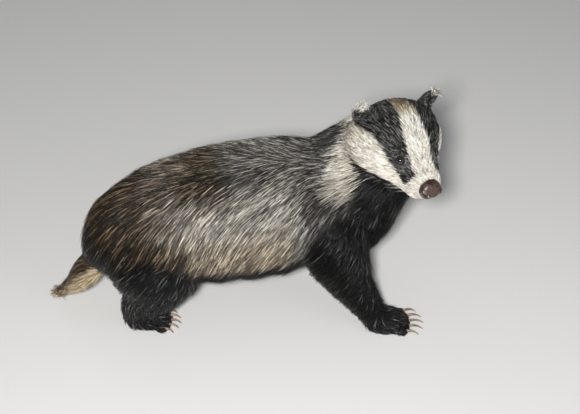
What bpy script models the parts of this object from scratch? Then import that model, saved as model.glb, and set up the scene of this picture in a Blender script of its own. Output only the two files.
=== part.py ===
"""European badger, standing with its head turned to its right: a still, life-size model.

+X is forward along the body, +Z is up, and the animal's right side faces -Y.
The flesh is lofted along the spine, the neck, the muzzle axis, each leg and the tail, and is
parted into a node for each named part. A coat of broad, tapered locks is fused to the trunk,
the neck and the tail. The paws rest on flat soles at z = 0.
"""

import math
import random

import bmesh
import bpy
import numpy as np
from mathutils import Matrix, Vector
from mathutils.bvhtree import BVHTree

# Driving dimensions, in metres
SEAM = 0.0003
SOLE_HEIGHT = 0.0
TRUNK_SIDES = 26
TRUNK_RINGS = 22
NECK_SIDES = 26
NECK_RINGS = 10
HEAD_SIDES = 26
HEAD_RINGS = 20
LEG_SIDES = 16
LEG_RINGS = 12
TAIL_SIDES = 12
TAIL_RINGS = 9
LEAST_RADIUS = 0.004
CREASE_DEG = 50.0
# Tries at cleaning a cut solid: the angle under which faces count as flat, and the merging distance
CLEANING = (
    (math.radians(0.4), 0.000005),
    (math.radians(0.1), 0.000005),
    (math.radians(0.2), 0.0000005),
    (0.0, 0.000005),
    (0.0, 0.0000002),
)

# The trunk's rings from rump to chest: centre x, y, z, half width, height above, depth below
TRUNK = (
    (-0.2520, 0.000, 0.132, 0.020, 0.020, 0.022),
    (-0.2460, 0.000, 0.132, 0.042, 0.036, 0.038),
    (-0.2280, 0.000, 0.132, 0.064, 0.048, 0.054),
    (-0.1900, 0.000, 0.137, 0.086, 0.065, 0.070),
    (-0.1400, 0.000, 0.143, 0.100, 0.081, 0.082),
    (-0.0700, 0.000, 0.148, 0.106, 0.094, 0.090),
    (0.0000, 0.000, 0.149, 0.106, 0.096, 0.094),
    (0.0600, 0.000, 0.152, 0.101, 0.090, 0.097),
    (0.1050, -0.003, 0.157, 0.094, 0.081, 0.096),
    (0.1450, -0.008, 0.163, 0.087, 0.074, 0.088),
    (0.1800, -0.016, 0.168, 0.066, 0.058, 0.068),
    (0.1960, -0.020, 0.170, 0.032, 0.030, 0.034),
)

# The neck's rings from the shoulders to the skull: centre x, y, z, half width, above, below
NECK = (
    (0.0900, 0.002, 0.174, 0.068, 0.056, 0.068),
    (0.1180, 0.000, 0.194, 0.078, 0.062, 0.080),
    (0.1430, -0.005, 0.215, 0.079, 0.063, 0.086),
    (0.1640, -0.013, 0.235, 0.076, 0.062, 0.084),
    (0.1800, -0.028, 0.250, 0.069, 0.055, 0.074),
    (0.1880, -0.045, 0.257, 0.054, 0.044, 0.058),
)

# The head sits on this frame: centre between the cheeks, turn from +X and dip below level
HEAD_CENTRE = (0.1830, -0.0440, 0.2680)
HEAD_TURN_DEG = -75.0
HEAD_DIP_DEG = 11.0
HEAD_ROLL_DEG = -8.0
# Rings from the nape to the muzzle: forward, half width, height above, depth below, rise
HEAD = (
    (-0.0600, 0.030, 0.026, 0.026, 0.000),
    (-0.0540, 0.044, 0.036, 0.038, 0.000),
    (-0.0400, 0.056, 0.046, 0.047, 0.000),
    (-0.0150, 0.064, 0.050, 0.051, 0.000),
    (0.0080, 0.060, 0.046, 0.048, 0.000),
    (0.0280, 0.047, 0.039, 0.042, -0.001),
    (0.0460, 0.035, 0.031, 0.035, -0.002),
    (0.0640, 0.027, 0.024, 0.028, -0.003),
    (0.0780, 0.022, 0.018, 0.023, -0.004),
    (0.0860, 0.014, 0.011, 0.015, -0.005),
)

NOSE_FORWARD = 0.0930
NOSE_RISE = 0.0030
NOSE_HALF = (0.0090, 0.0160, 0.0145)
NOSTRIL_APART = 0.0075
NOSTRIL_HALF = (0.0045, 0.0030, 0.0024)

EYE_RADIUS = 0.0052
EYE_FORWARD = 0.0400
EYE_APART = 0.0272
EYE_RISE = 0.0180

EAR_FORWARD = -0.0320
EAR_APART = 0.0495
EAR_RISE = 0.0385
EAR_HALF = (0.0100, 0.0165, 0.0190)
EAR_LEAN_DEG = 22.0
EAR_OPEN_DEG = 28.0
EAR_CUP_HALF = (0.0115, 0.0125, 0.0140)
EAR_CUP_SHIFT = (0.0090, 0.0, 0.0030)

# Hollows and swellings of the head: centre forward, apart and up, reach, and the shift there
HEAD_FORMS = {
    "socket": ((EYE_FORWARD + 0.004, EYE_APART + 0.004, EYE_RISE), 0.017, (-0.00015, -0.0012, -0.0006)),
    "brow": ((EYE_FORWARD - 0.010, EYE_APART - 0.006, EYE_RISE + 0.012), 0.018, (0.0, 0.0012, 0.0016)),
    "cheek": ((-0.004, 0.055, -0.018), 0.032, (-0.0007, 0.0035, -0.0007)),
    "lip": ((0.070, 0.020, -0.010), 0.016, (0.0, 0.0022, -0.0007)),
    "ear_base": ((EAR_FORWARD + 0.004, EAR_APART + 0.002, EAR_RISE - 0.010), 0.026, (0.0, 0.0035, 0.0028)),
}

# The tail's rings from its root to the tip: centre x, y, z and radius
TAIL = (
    (-0.2160, 0.000, 0.114, 0.026),
    (-0.2380, 0.000, 0.098, 0.029),
    (-0.2520, 0.001, 0.078, 0.028),
    (-0.2640, 0.004, 0.057, 0.026),
    (-0.2800, 0.009, 0.038, 0.021),
    (-0.2970, 0.014, 0.024, 0.014),
    (-0.3080, 0.018, 0.015, 0.006),
)

# Leg rings from the shoulder or hip down into the paw: centre x, y, z, half length fore and
# aft, half width
FORE_RIGHT = (
    (0.0860, -0.048, 0.176, 0.040, 0.030),
    (0.0880, -0.064, 0.144, 0.047, 0.034),
    (0.0920, -0.080, 0.110, 0.044, 0.034),
    (0.1040, -0.096, 0.080, 0.035, 0.029),
    (0.1220, -0.109, 0.050, 0.026, 0.024),
    (0.1370, -0.118, 0.026, 0.021, 0.020),
    (0.1460, -0.120, 0.010, 0.016, 0.016),
)
FORE_LEFT = (
    (0.0860, 0.048, 0.174, 0.040, 0.030),
    (0.0830, 0.062, 0.142, 0.046, 0.034),
    (0.0780, 0.074, 0.108, 0.043, 0.033),
    (0.0750, 0.080, 0.076, 0.034, 0.028),
    (0.0790, 0.082, 0.048, 0.026, 0.023),
    (0.0860, 0.082, 0.026, 0.021, 0.020),
    (0.0920, 0.082, 0.010, 0.016, 0.016),
)
HIND_RIGHT = (
    (-0.1640, -0.038, 0.152, 0.048, 0.028),
    (-0.1620, -0.054, 0.122, 0.057, 0.034),
    (-0.1600, -0.062, 0.094, 0.055, 0.034),
    (-0.1680, -0.061, 0.067, 0.043, 0.029),
    (-0.1860, -0.054, 0.043, 0.030, 0.024),
    (-0.1930, -0.049, 0.025, 0.023, 0.020),
    (-0.1920, -0.049, 0.010, 0.018, 0.016),
)
HIND_LEFT = (
    (-0.1600, 0.038, 0.152, 0.048, 0.028),
    (-0.1560, 0.056, 0.122, 0.057, 0.034),
    (-0.1500, 0.066, 0.094, 0.055, 0.034),
    (-0.1560, 0.069, 0.067, 0.043, 0.029),
    (-0.1710, 0.070, 0.043, 0.030, 0.024),
    (-0.1760, 0.071, 0.025, 0.023, 0.020),
    (-0.1740, 0.071, 0.010, 0.018, 0.016),
)

# Paws: ankle x, y, heading from +X, sole length, half width, height and claw length
PAWS = {
    "fore_right": (0.1400, -0.121, -9.0, 0.054, 0.024, 0.029, 0.023),
    "fore_left": (0.0880, 0.082, 6.0, 0.054, 0.024, 0.029, 0.023),
    "hind_right": (-0.1970, -0.048, -16.0, 0.057, 0.021, 0.028, 0.016),
    "hind_left": (-0.1790, 0.071, 12.0, 0.057, 0.021, 0.028, 0.016),
}
# The long coat: depth from the core to the tips, and the locks' usual size
COAT_DEPTH = 0.009
LOCK_LENGTH = 0.068
LOCK_WIDTH = 0.036
LOCK_THICKNESS = 0.0050
# A lock's sections: share of its length, height as a share of the coat, breadth, thickness
LOCK_SECTIONS = (
    (0.00, -0.55, 0.70, 1.00),
    (0.34, 0.42, 1.00, 1.00),
    (0.72, 0.62, 0.62, 0.70),
    (1.00, 0.72, 0.00, 0.00),
)
ACROSS_STEP = 0.036
LOCK_TRIES = ((0.0, 1.0), (0.003, 0.9), (0.005, 0.75), (0.002, 0.6))
SEED = 11
NECK_COAT = COAT_DEPTH * 0.7
TAIL_COAT = COAT_DEPTH * 0.8
# Rows of locks: the share of the loft where the first and the last row stand, and their number
NECK_ROWS = (0.74, 0.40, 2)
TAIL_ROWS = (0.24, 0.72, 3)
TRUNK_ROWS = (0.93, 0.07, 10)
TAIL_LOCK_HEIGHT = 0.012
BELLY_LOCK_LIMIT = -0.86

LID_RADIUS = 0.0070
LID_FLATTEN = 0.86
LID_OPENING = (0.0050, 0.0100, 0.0034)
LID_TILT_DEG = 12.0
MOUTH_POINTS = 6
MOUTH_FRONT = 0.0830
MOUTH_BACK = 0.0330
MOUTH_ANGLE_DEG = -38.0
MOUTH_DROP_DEG = 30.0
MOUTH_CORNER_DEG = 6.0
MOUTH_GROOVE = 0.0009

TOES = 5
TOE_RADIUS = 0.0068
CLAW_RADIUS = 0.0026
CLAW_RINGS = 4
CLAW_SIDES = 5

BLACK_COAT = (0.012, 0.012, 0.013)
GREY_COAT = (0.20, 0.18, 0.16)
FACE_WHITE = (0.72, 0.66, 0.56)
TAIL_BUFF = (0.45, 0.36, 0.24)
NOSE_BROWN = (0.11, 0.055, 0.045)
EYE_BLACK = (0.010, 0.008, 0.007)
CLAW_HORN = (0.30, 0.19, 0.14)


def clear_scene():
    """Empty the scene of its objects."""
    for obj in list(bpy.data.objects):
        bpy.data.objects.remove(obj, do_unlink=True)


def new_collection(name):
    """A collection linked to the scene."""
    collection = bpy.data.collections.new(name)
    bpy.context.scene.collection.children.link(collection)
    return collection


def coat_material(name, colour, roughness):
    """A Principled BSDF of one colour."""
    material = bpy.data.materials.new(name)
    material.use_nodes = True
    shader = material.node_tree.nodes["Principled BSDF"]
    shader.inputs["Base Color"].default_value = (*colour, 1.0)
    shader.inputs["Roughness"].default_value = roughness
    shader.inputs["Metallic"].default_value = 0.0
    material.diffuse_color = (*colour, 1.0)
    return material


def curve_through(rows, count):
    """Rows of numbers spread evenly along a Catmull-Rom curve through the given rows."""
    rows = np.array(rows, float)
    padded = np.vstack((2 * rows[0] - rows[1], rows, 2 * rows[-1] - rows[-2]))
    fine = []
    steps = 40
    for i in range(len(rows) - 1):
        a, b, c, d = padded[i:i + 4]
        for k in range(steps):
            t = k / steps
            fine.append(0.5 * (2 * b + (c - a) * t + (2 * a - 5 * b + 4 * c - d) * t * t
                               + (3 * b - a - 3 * c + d) * t ** 3))
    fine.append(rows[-1])
    fine = np.array(fine)
    span = np.linalg.norm(np.diff(fine[:, :3], axis=0), axis=1)
    along = np.concatenate(([0.0], np.cumsum(span)))
    wanted = np.linspace(0.0, along[-1], count)
    return np.array([np.interp(wanted, along, fine[:, j]) for j in range(fine.shape[1])]).T


def in_fixed_order(mesh):
    """Rewrite a mesh with its points and faces sorted, so that each run gives the same solids."""
    points = np.array([vert.co for vert in mesh.vertices])
    order = np.lexsort((points[:, 2], points[:, 1], points[:, 0]))
    rank = np.empty(len(order), int)
    rank[order] = np.arange(len(order))
    faces = []
    for face in mesh.polygons:
        corners = [int(rank[i]) for i in face.vertices]
        first = corners.index(min(corners))
        faces.append(tuple(corners[first:] + corners[:first]))
    mesh.clear_geometry()
    mesh.from_pydata([tuple(p) for p in points[order]], [], sorted(faces))


def mesh_object(name, verts, faces, collection):
    """A triangulated object from rings of points and their faces."""
    mesh = bpy.data.meshes.new(name)
    mesh.from_pydata([tuple(v) for v in verts], [], faces)
    obj = bpy.data.objects.new(name, mesh)
    collection.objects.link(obj)
    work = bmesh.new()
    work.from_mesh(mesh)
    bmesh.ops.recalc_face_normals(work, faces=work.faces)
    bmesh.ops.triangulate(work, faces=work.faces, quad_method="SHORT_EDGE")
    work.to_mesh(mesh)
    work.free()
    in_fixed_order(mesh)
    return obj


def skin_rings(name, rings, collection, tip=None):
    """A closed tube over rings of equal counts, capped at both ends or drawn out to a tip."""
    count = len(rings[0])
    verts = [p for ring in rings for p in ring]
    first = len(verts)
    verts.append(np.mean(rings[0], axis=0))
    verts.append(np.mean(rings[-1], axis=0) if tip is None else tip)
    faces = []
    for r in range(len(rings) - 1):
        for s in range(count):
            nxt = (s + 1) % count
            faces.append((r * count + s, r * count + nxt, (r + 1) * count + nxt, (r + 1) * count + s))
    last = (len(rings) - 1) * count
    for s in range(count):
        nxt = (s + 1) % count
        faces.append((first, nxt, s))
        faces.append((first + 1, last + s, last + nxt))
    return mesh_object(name, verts, faces, collection)


def oval(centre, side, up, half_width, above, below, sides):
    """One ring with its own height above and depth below the centre."""
    ring = []
    for s in range(sides):
        angle = 2 * math.pi * s / sides
        across = math.cos(angle) * half_width
        height = math.sin(angle) * (above if math.sin(angle) > 0 else below)
        ring.append(centre + side * across + up * height)
    return ring


def spine_loft(name, stations, sides, ring_count, collection, inset=0.0):
    """A loft along a curve, its rings square to the curve and level across."""
    rows = curve_through(stations, ring_count)
    rings = []
    for i, row in enumerate(rows):
        before = rows[max(i - 1, 0)][:3]
        after = rows[min(i + 1, ring_count - 1)][:3]
        along = Vector(after - before).normalized()
        side = along.cross(Vector((0, 0, 1))).normalized()
        up = side.cross(along).normalized()
        centre = Vector(row[:3])
        spread = [max(v - inset, LEAST_RADIUS) for v in row[3:6]]
        rings.append([np.array(p) for p in oval(centre, side, up, *spread, sides)])
    return skin_rings(name, rings, collection)


def limb_loft(name, stations, sides, ring_count, collection):
    """A loft down a leg: each ring is level-ish, long fore and aft and narrow across."""
    rows = curve_through(stations, ring_count)
    rings = []
    for i, row in enumerate(rows):
        before = rows[max(i - 1, 0)][:3]
        after = rows[min(i + 1, ring_count - 1)][:3]
        along = Vector(after - before).normalized()
        side = Vector((0, 1, 0))
        fore = side.cross(along).normalized()
        side = along.cross(fore).normalized()
        centre = Vector(row[:3])
        ring = []
        for s in range(sides):
            angle = 2 * math.pi * s / sides
            reach = fore * (math.cos(angle) * row[3]) + side * (math.sin(angle) * row[4])
            ring.append(np.array(centre + reach))
        rings.append(ring)
    return skin_rings(name, rings, collection)


def head_frame():
    """The matrix from the head's forward, left and up axes to the world."""
    turn = Matrix.Rotation(math.radians(HEAD_TURN_DEG), 4, "Z")
    dip = Matrix.Rotation(math.radians(HEAD_DIP_DEG), 4, "Y")
    roll = Matrix.Rotation(math.radians(HEAD_ROLL_DEG), 4, "X")
    return Matrix.Translation(HEAD_CENTRE) @ turn @ dip @ roll


def ellipsoid(name, place, half, collection, segments=16, rings=10):
    """A closed ellipsoid, placed by a matrix."""
    mesh = bpy.data.meshes.new(name)
    work = bmesh.new()
    bmesh.ops.create_uvsphere(work, u_segments=segments, v_segments=rings, radius=1.0)
    work.transform(place @ Matrix.Diagonal((*half, 1.0)))
    bmesh.ops.triangulate(work, faces=work.faces, quad_method="SHORT_EDGE")
    work.to_mesh(mesh)
    work.free()
    in_fixed_order(mesh)
    obj = bpy.data.objects.new(name, mesh)
    collection.objects.link(obj)
    return obj


def push(obj, centre, radius, shift):
    """Move the skin near a point by a smooth amount that fades out at the radius."""
    centre = Vector(centre)
    shift = Vector(shift)
    for vert in obj.data.vertices:
        gap = (vert.co - centre).length / radius
        if gap < 1.0:
            vert.co += shift * (1 - gap * gap) ** 2


def apply_modifiers(obj):
    """Bake an object's modifiers into its mesh."""
    graph = bpy.context.evaluated_depsgraph_get()
    mesh = bpy.data.meshes.new_from_object(obj.evaluated_get(graph))
    in_fixed_order(mesh)
    old = obj.data
    obj.modifiers.clear()
    obj.data = mesh
    bpy.data.meshes.remove(old)


def boolean(obj, operation, operand=None, group=None, solver="MANIFOLD"):
    """Cut or join an object by another object or by a whole collection."""
    modifier = obj.modifiers.new(operation.lower(), "BOOLEAN")
    modifier.operation = operation
    modifier.solver = solver
    if group is None:
        modifier.object = operand
    else:
        modifier.operand_type = "COLLECTION"
        modifier.collection = group
    apply_modifiers(obj)


def remove(obj):
    """Delete a helper and its mesh."""
    mesh = obj.data
    bpy.data.objects.remove(obj, do_unlink=True)
    bpy.data.meshes.remove(mesh)


def largest_shell(work):
    """Delete all but the largest surface whose faces are joined by edges."""
    work.faces.ensure_lookup_table()
    work.faces.index_update()
    owner = [-1] * len(work.faces)
    sizes = []
    for first in work.faces:
        if owner[first.index] >= 0:
            continue
        owner[first.index] = len(sizes)
        stack = [first]
        size = 0
        while stack:
            face = stack.pop()
            size += 1
            for edge in face.edges:
                for other in edge.link_faces:
                    if owner[other.index] < 0:
                        owner[other.index] = len(sizes)
                        stack.append(other)
        sizes.append(size)
    largest = sizes.index(max(sizes))
    loose = [face for face in work.faces if owner[face.index] != largest]
    if loose:
        bmesh.ops.delete(work, geom=loose, context="FACES")


def is_closed(work):
    """Whether every edge joins exactly two faces."""
    return all(len(edge.link_faces) == 2 for edge in work.edges)


def keep_largest(obj):
    """Keep an object's largest closed surface, with the flat faces that a cut splits joined again."""
    for angle, merge in CLEANING:
        work = bmesh.new()
        work.from_mesh(obj.data)
        bmesh.ops.remove_doubles(work, verts=work.verts, dist=merge)
        bmesh.ops.dissolve_degenerate(work, edges=work.edges, dist=merge)
        largest_shell(work)
        if angle > 0:
            bmesh.ops.dissolve_limit(work, angle_limit=angle, verts=work.verts, edges=work.edges)
        bmesh.ops.triangulate(work, faces=work.faces)
        bmesh.ops.recalc_face_normals(work, faces=work.faces)
        done = is_closed(work)
        if done or (angle, merge) == CLEANING[-1]:
            work.to_mesh(obj.data)
            in_fixed_order(obj.data)
        work.free()
        if done:
            break


def grown_copy(obj, collection, distance=SEAM):
    """A cutter: a copy of a solid, swollen by the gap that neighbours keep."""
    copy = bpy.data.objects.new(obj.name + "_cutter", obj.data.copy())
    collection.objects.link(copy)
    copy.hide_render = True
    copy.display_type = "WIRE"
    work = bmesh.new()
    work.from_mesh(copy.data)
    work.normal_update()
    moves = [(vert, vert.normal.copy()) for vert in work.verts]
    for vert, normal in moves:
        vert.co += normal * distance
    work.to_mesh(copy.data)
    work.free()
    return copy


def fit_against(obj, neighbours, cutters):
    """Cut a solid back so that it meets each neighbour face to face across the seam."""
    for neighbour in neighbours:
        cutter = grown_copy(neighbour, cutters)
        boolean(obj, "DIFFERENCE", operand=cutter)
        remove(cutter)
    keep_largest(obj)


def fuse(obj, pieces, cutters):
    """Join closed pieces to a solid with one union."""
    group = bpy.data.collections.new(obj.name + "_pieces")
    bpy.context.scene.collection.children.link(group)
    for piece in pieces:
        for owner in list(piece.users_collection):
            owner.objects.unlink(piece)
        group.objects.link(piece)
    boolean(obj, "UNION", group=group)
    for piece in list(group.objects):
        remove(piece)
    bpy.data.collections.remove(group)
    keep_largest(obj)


def flat_sole(obj, height):
    """Cut everything below a level away and close the cut."""
    work = bmesh.new()
    work.from_mesh(obj.data)
    geometry = list(work.verts) + list(work.edges) + list(work.faces)
    bmesh.ops.bisect_plane(work, geom=geometry, plane_co=(0, 0, height), plane_no=(0, 0, 1),
                           clear_inner=True, dist=0.000001)
    rim = [edge for edge in work.edges if edge.is_boundary]
    if rim:
        bmesh.ops.triangle_fill(work, edges=rim, use_beauty=True)
    bmesh.ops.recalc_face_normals(work, faces=work.faces)
    bmesh.ops.triangulate(work, faces=work.faces)
    work.to_mesh(obj.data)
    work.free()
    in_fixed_order(obj.data)


def bent_cone(name, points, radii, sides, collection):
    """A tapering rod through points, such as a claw."""
    rings = []
    for i, point in enumerate(points):
        before = points[max(i - 1, 0)]
        after = points[min(i + 1, len(points) - 1)]
        along = (after - before).normalized()
        side = along.cross(Vector((0, 0, 1))).normalized()
        up = side.cross(along).normalized()
        ring = oval(point, side, up, radii[i] * 0.8, radii[i], radii[i], sides)
        rings.append([np.array(p) for p in ring])
    return skin_rings(name, rings, collection)


def surface_tree(objects):
    """A search tree over the faces of several solids."""
    verts = []
    faces = []
    for obj in objects:
        start = len(verts)
        verts.extend(vert.co.copy() for vert in obj.data.vertices)
        faces.extend(tuple(start + i for i in face.vertices) for face in obj.data.polygons)
    return BVHTree.FromPolygons(verts, faces)


def mouth_line(head, side, place):
    """Points where the lips meet, from under the nose back to the cheek."""
    tree = surface_tree([head])
    turn = place.to_3x3()
    points = []
    for k in range(MOUTH_POINTS):
        t = k / (MOUTH_POINTS - 1)
        forward = MOUTH_FRONT + (MOUTH_BACK - MOUTH_FRONT) * t
        angle = math.radians(MOUTH_ANGLE_DEG - MOUTH_DROP_DEG * (1 - t) ** 3 + MOUTH_CORNER_DEG * t)
        start = place @ Vector((forward, 0, -0.003))
        away = turn @ Vector((0, side * math.cos(angle), math.sin(angle)))
        hit = tree.ray_cast(start, away, 0.2)[0]
        points.append(hit)
    return points


def build_head(collection, cutters):
    """The head: a loft along the muzzle axis, with brows, lids, lips and the line of the mouth."""
    place = head_frame()
    turn = place.to_3x3()
    rings = []
    for forward, half, above, below, rise in curve_through(HEAD, HEAD_RINGS):
        centre = Vector((forward, 0, rise))
        ring = oval(centre, Vector((0, 1, 0)), Vector((0, 0, 1)), half, above, below, HEAD_SIDES)
        rings.append([np.array(place @ p) for p in ring])
    head = skin_rings("head", rings, collection)
    lids = []
    for side in (-1, 1):
        for (forward, apart, rise), reach, (along, out, up) in HEAD_FORMS.values():
            shift = turn @ Vector((along, side * out, up))
            push(head, place @ Vector((forward, side * apart, rise)), reach, shift)
        at_eye = place @ Matrix.Translation((EYE_FORWARD, side * EYE_APART, EYE_RISE))
        half = (LID_RADIUS, LID_RADIUS, LID_RADIUS * LID_FLATTEN)
        lids.append(ellipsoid("lid", at_eye, half, cutters, 12, 8))
    fuse(head, lids, cutters)
    for side in (-1, 1):
        tilt = Matrix.Rotation(math.radians(LID_TILT_DEG), 4, "Y")
        at_lids = Vector((EYE_FORWARD + 0.001, side * (EYE_APART + 0.004), EYE_RISE))
        at_eye = place @ Matrix.Translation(at_lids) @ tilt
        opening = ellipsoid("opening", at_eye, LID_OPENING, cutters, 12, 6)
        boolean(head, "DIFFERENCE", operand=opening)
        remove(opening)
        path = mouth_line(head, side, place)
        groove = bent_cone("groove", path, [MOUTH_GROOVE] * len(path), 4, cutters)
        boolean(head, "DIFFERENCE", operand=groove)
        remove(groove)
    keep_largest(head)
    return head


def build_eye(side, collection):
    """One dark eyeball, set deep in the head."""
    place = head_frame() @ Matrix.Translation((EYE_FORWARD, side * EYE_APART, EYE_RISE))
    name = "eye_left" if side > 0 else "eye_right"
    return ellipsoid(name, place, (EYE_RADIUS,) * 3, collection, 12, 8)


def build_ear(side, collection, cutters):
    """One small rounded ear with its cup open forward and out."""
    name = "ear_left" if side > 0 else "ear_right"
    lean = Matrix.Rotation(math.radians(-EAR_LEAN_DEG * side), 4, "X")
    turn = Matrix.Rotation(math.radians(EAR_OPEN_DEG * side), 4, "Z")
    place = head_frame() @ Matrix.Translation((EAR_FORWARD, side * EAR_APART, EAR_RISE)) @ lean @ turn
    ear = ellipsoid(name, place, EAR_HALF, collection, 12, 9)
    hollow = place @ Matrix.Translation(EAR_CUP_SHIFT)
    cup = ellipsoid(name + "_cup", hollow, EAR_CUP_HALF, cutters, 10, 7)
    boolean(ear, "DIFFERENCE", operand=cup)
    remove(cup)
    keep_largest(ear)
    return ear


def build_nose(collection, cutters):
    """The bare nose pad, with two nostrils."""
    place = head_frame() @ Matrix.Translation((NOSE_FORWARD - NOSE_HALF[0], 0, NOSE_RISE - 0.004))
    nose = ellipsoid("nose", place, NOSE_HALF, collection, 16, 10)
    for side in (-1, 1):
        hole = place @ Matrix.Translation((NOSE_HALF[0], side * NOSTRIL_APART, -0.002))
        pit = ellipsoid("nostril", hole, NOSTRIL_HALF, cutters, 8, 6)
        boolean(nose, "DIFFERENCE", operand=pit)
        remove(pit)
    keep_largest(nose)
    return nose


def build_paw(name, collection, cutters):
    """A paw: a broad palm with its toes, on a flat sole."""
    x, y, heading, length, half, height, claw_length = PAWS[name]
    place = Matrix.Translation((x, y, 0)) @ Matrix.Rotation(math.radians(heading), 4, "Z")
    paw = ellipsoid("paw_" + name, place @ Matrix.Translation((length * 0.30, 0, height * 0.34)),
                    (length * 0.58, half, height * 0.62), collection, 12, 7)
    toes = []
    for number in range(TOES):
        spread = (number - (TOES - 1) / 2) / ((TOES - 1) / 2)
        reach = length * (0.80 - 0.10 * spread * spread)
        centre = place @ Matrix.Translation((reach, -spread * half * 0.84, TOE_RADIUS * 0.72))
        centre = centre @ Matrix.Rotation(math.radians(-9.0 * spread), 4, "Z")
        half_toe = (TOE_RADIUS * 1.5, TOE_RADIUS * 0.8, TOE_RADIUS * 1.05)
        toes.append(ellipsoid("toe", centre, half_toe, cutters, 7, 5))
    fuse(paw, toes, cutters)
    flat_sole(paw, SOLE_HEIGHT)
    return paw


def build_claws(name, paw, collection, cutters):
    """The paw's long curved claws, each a node of its own."""
    x, y, heading, length, half, height, claw_length = PAWS[name]
    place = Matrix.Translation((x, y, 0)) @ Matrix.Rotation(math.radians(heading), 4, "Z")
    claws = []
    for number in range(TOES):
        spread = (number - (TOES - 1) / 2) / ((TOES - 1) / 2)
        reach = length * (0.80 - 0.10 * spread * spread)
        start = Vector((reach + TOE_RADIUS * 0.9, -spread * half * 0.84, TOE_RADIUS * 1.15))
        away = Vector((1, -0.16 * spread, 0)).normalized()
        size = claw_length * (1 - 0.18 * spread * spread)
        points = []
        radii = []
        for k in range(CLAW_RINGS):
            t = k / (CLAW_RINGS - 1)
            drop = -0.0035 * math.sin(math.pi * 0.9 * t) + (TOE_RADIUS * 1.15 - 0.0012) * t * t
            points.append(place @ (start + away * size * t - Vector((0, 0, drop))))
            radii.append(CLAW_RADIUS * (1 - t) ** 0.7 + 0.0004)
        claw = bent_cone("claw_%s_%d" % (name, number + 1), points, radii, CLAW_SIDES, collection)
        fit_against(claw, [paw], cutters)
        claws.append(claw)
    return claws


def lay_lock(root, lie, ground, length, width, lift, fall, curl, collection):
    """One flat, ridged lock from a point on the coat's core, along the lie, over the ground below."""
    place, normal, _, _ = ground.find_nearest(root)
    heading = (lie - normal * lie.dot(normal)).normalized()
    rings = []
    tip = None
    for k, (share, height, breadth, body) in enumerate(LOCK_SECTIONS):
        rise = COAT_DEPTH * height + (lift if height > 0 else 0.0)
        centre = place + normal * rise - Vector((0, 0, fall * share * share))
        side = heading.cross(normal).normalized()
        half = width * 0.5 * breadth
        thick = LOCK_THICKNESS * body
        if k < len(LOCK_SECTIONS) - 1:
            rings.append([np.array(centre + side * half),
                          np.array(centre + normal * thick),
                          np.array(centre - side * half)])
            step = length * (LOCK_SECTIONS[k + 1][0] - share)
            place, normal, _, _ = ground.find_nearest(place + heading * step)
            heading = (heading + side * curl - normal * heading.dot(normal)).normalized()
        else:
            tip = np.array(centre)
    return skin_rings("lock", rings, collection, tip)


def grow_coat(node, sites, ground, neighbours, cutters):
    """Fuse locks to a node at each site, each bent clear of the neighbours or left out."""
    walls = [grown_copy(other, cutters, SEAM * 1.7) for other in neighbours]
    fence = surface_tree(walls)
    locks = []
    for root, lie, length, width, fall, curl in sites:
        for lift, share in LOCK_TRIES:
            lock = lay_lock(root, lie, ground, length * share, width, lift, fall * share, curl, cutters)
            if not surface_tree([lock]).overlap(fence):
                locks.append(lock)
                break
            remove(lock)
    for wall in walls:
        remove(wall)
    fuse(node, locks, cutters)


def round_sites(stations, inset, spread, pick, lie_of, draw):
    """Lock roots in staggered rows round a loft: point, lie, length, width, fall and curl of each."""
    first, last, rows = spread
    sites = []
    table = curve_through(stations, 200)
    for row in range(rows):
        share = first + (last - first) * row / max(rows - 1, 1)
        index = int(share * 199)
        x = table[index]
        along = Vector(table[min(index + 2, 199)][:3] - table[max(index - 2, 0)][:3]).normalized()
        side = along.cross(Vector((0, 0, 1))).normalized()
        up = side.cross(along).normalized()
        girth = math.pi * (x[3] + 0.5 * (x[4] + x[5]))
        count = max(4, round(girth / ACROSS_STEP))
        for k in range(count):
            angle = 2 * math.pi * (k + 0.5 * (row % 2) + draw.uniform(-0.12, 0.12)) / count
            high = (x[4] if math.sin(angle) > 0 else x[5]) - inset
            normal = (side * math.cos(angle) + up * math.sin(angle)).normalized()
            root = Vector(x[:3]) + side * math.cos(angle) * (x[3] - inset) + up * math.sin(angle) * high
            if pick(root, normal):
                lie, length, width, fall = lie_of(root, normal, along)
                length *= draw.uniform(0.88, 1.12)
                width *= draw.uniform(0.9, 1.1)
                sites.append((root, lie, length, width, fall, draw.uniform(-0.22, 0.22)))
    return sites


def body_lie(root, normal, along):
    """The lie of the long coat: back along the spine, and more down the flank towards the rump."""
    down = Vector((0, 0, -1))
    down = (down - normal * down.dot(normal)).normalized()
    flank = 1.0 - abs(normal.z)
    rump = min(max((-0.12 - root.x) / 0.10, 0.0), 1.0)
    chest = min(max((root.x - 0.09) / 0.07, 0.0), 1.0)
    slope = math.radians(8.0 + 44.0 * flank ** 0.6 + 14.0 * rump + 10.0 * chest)
    if normal.z < -0.45:
        slope *= 0.45
    lie = -along * math.cos(slope) + down * math.sin(slope)
    fringe = 0.012 if -0.95 < normal.z < -0.30 else 0.0
    return lie, LOCK_LENGTH, LOCK_WIDTH, fringe


def neck_lie(root, normal, along):
    """The neck's coat runs back from the skull, and down towards the shoulder."""
    lie, length, width, fall = body_lie(root, normal, along)
    return -along * 0.8 + lie * 0.4, LOCK_LENGTH * 0.85, LOCK_WIDTH * 0.95, 0.0


def tail_lie(root, normal, along):
    """The tail's hair runs to the tip."""
    return along, LOCK_LENGTH * 0.80, LOCK_WIDTH * 0.72, 0.0


def dress(obj, material):
    """Give a node its material and smooth shading with crisp edges where it turns sharply."""
    obj.data.materials.clear()
    obj.data.materials.append(material)
    obj.data.shade_smooth()
    obj.data.set_sharp_from_angle(angle=math.radians(CREASE_DEG))


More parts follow.
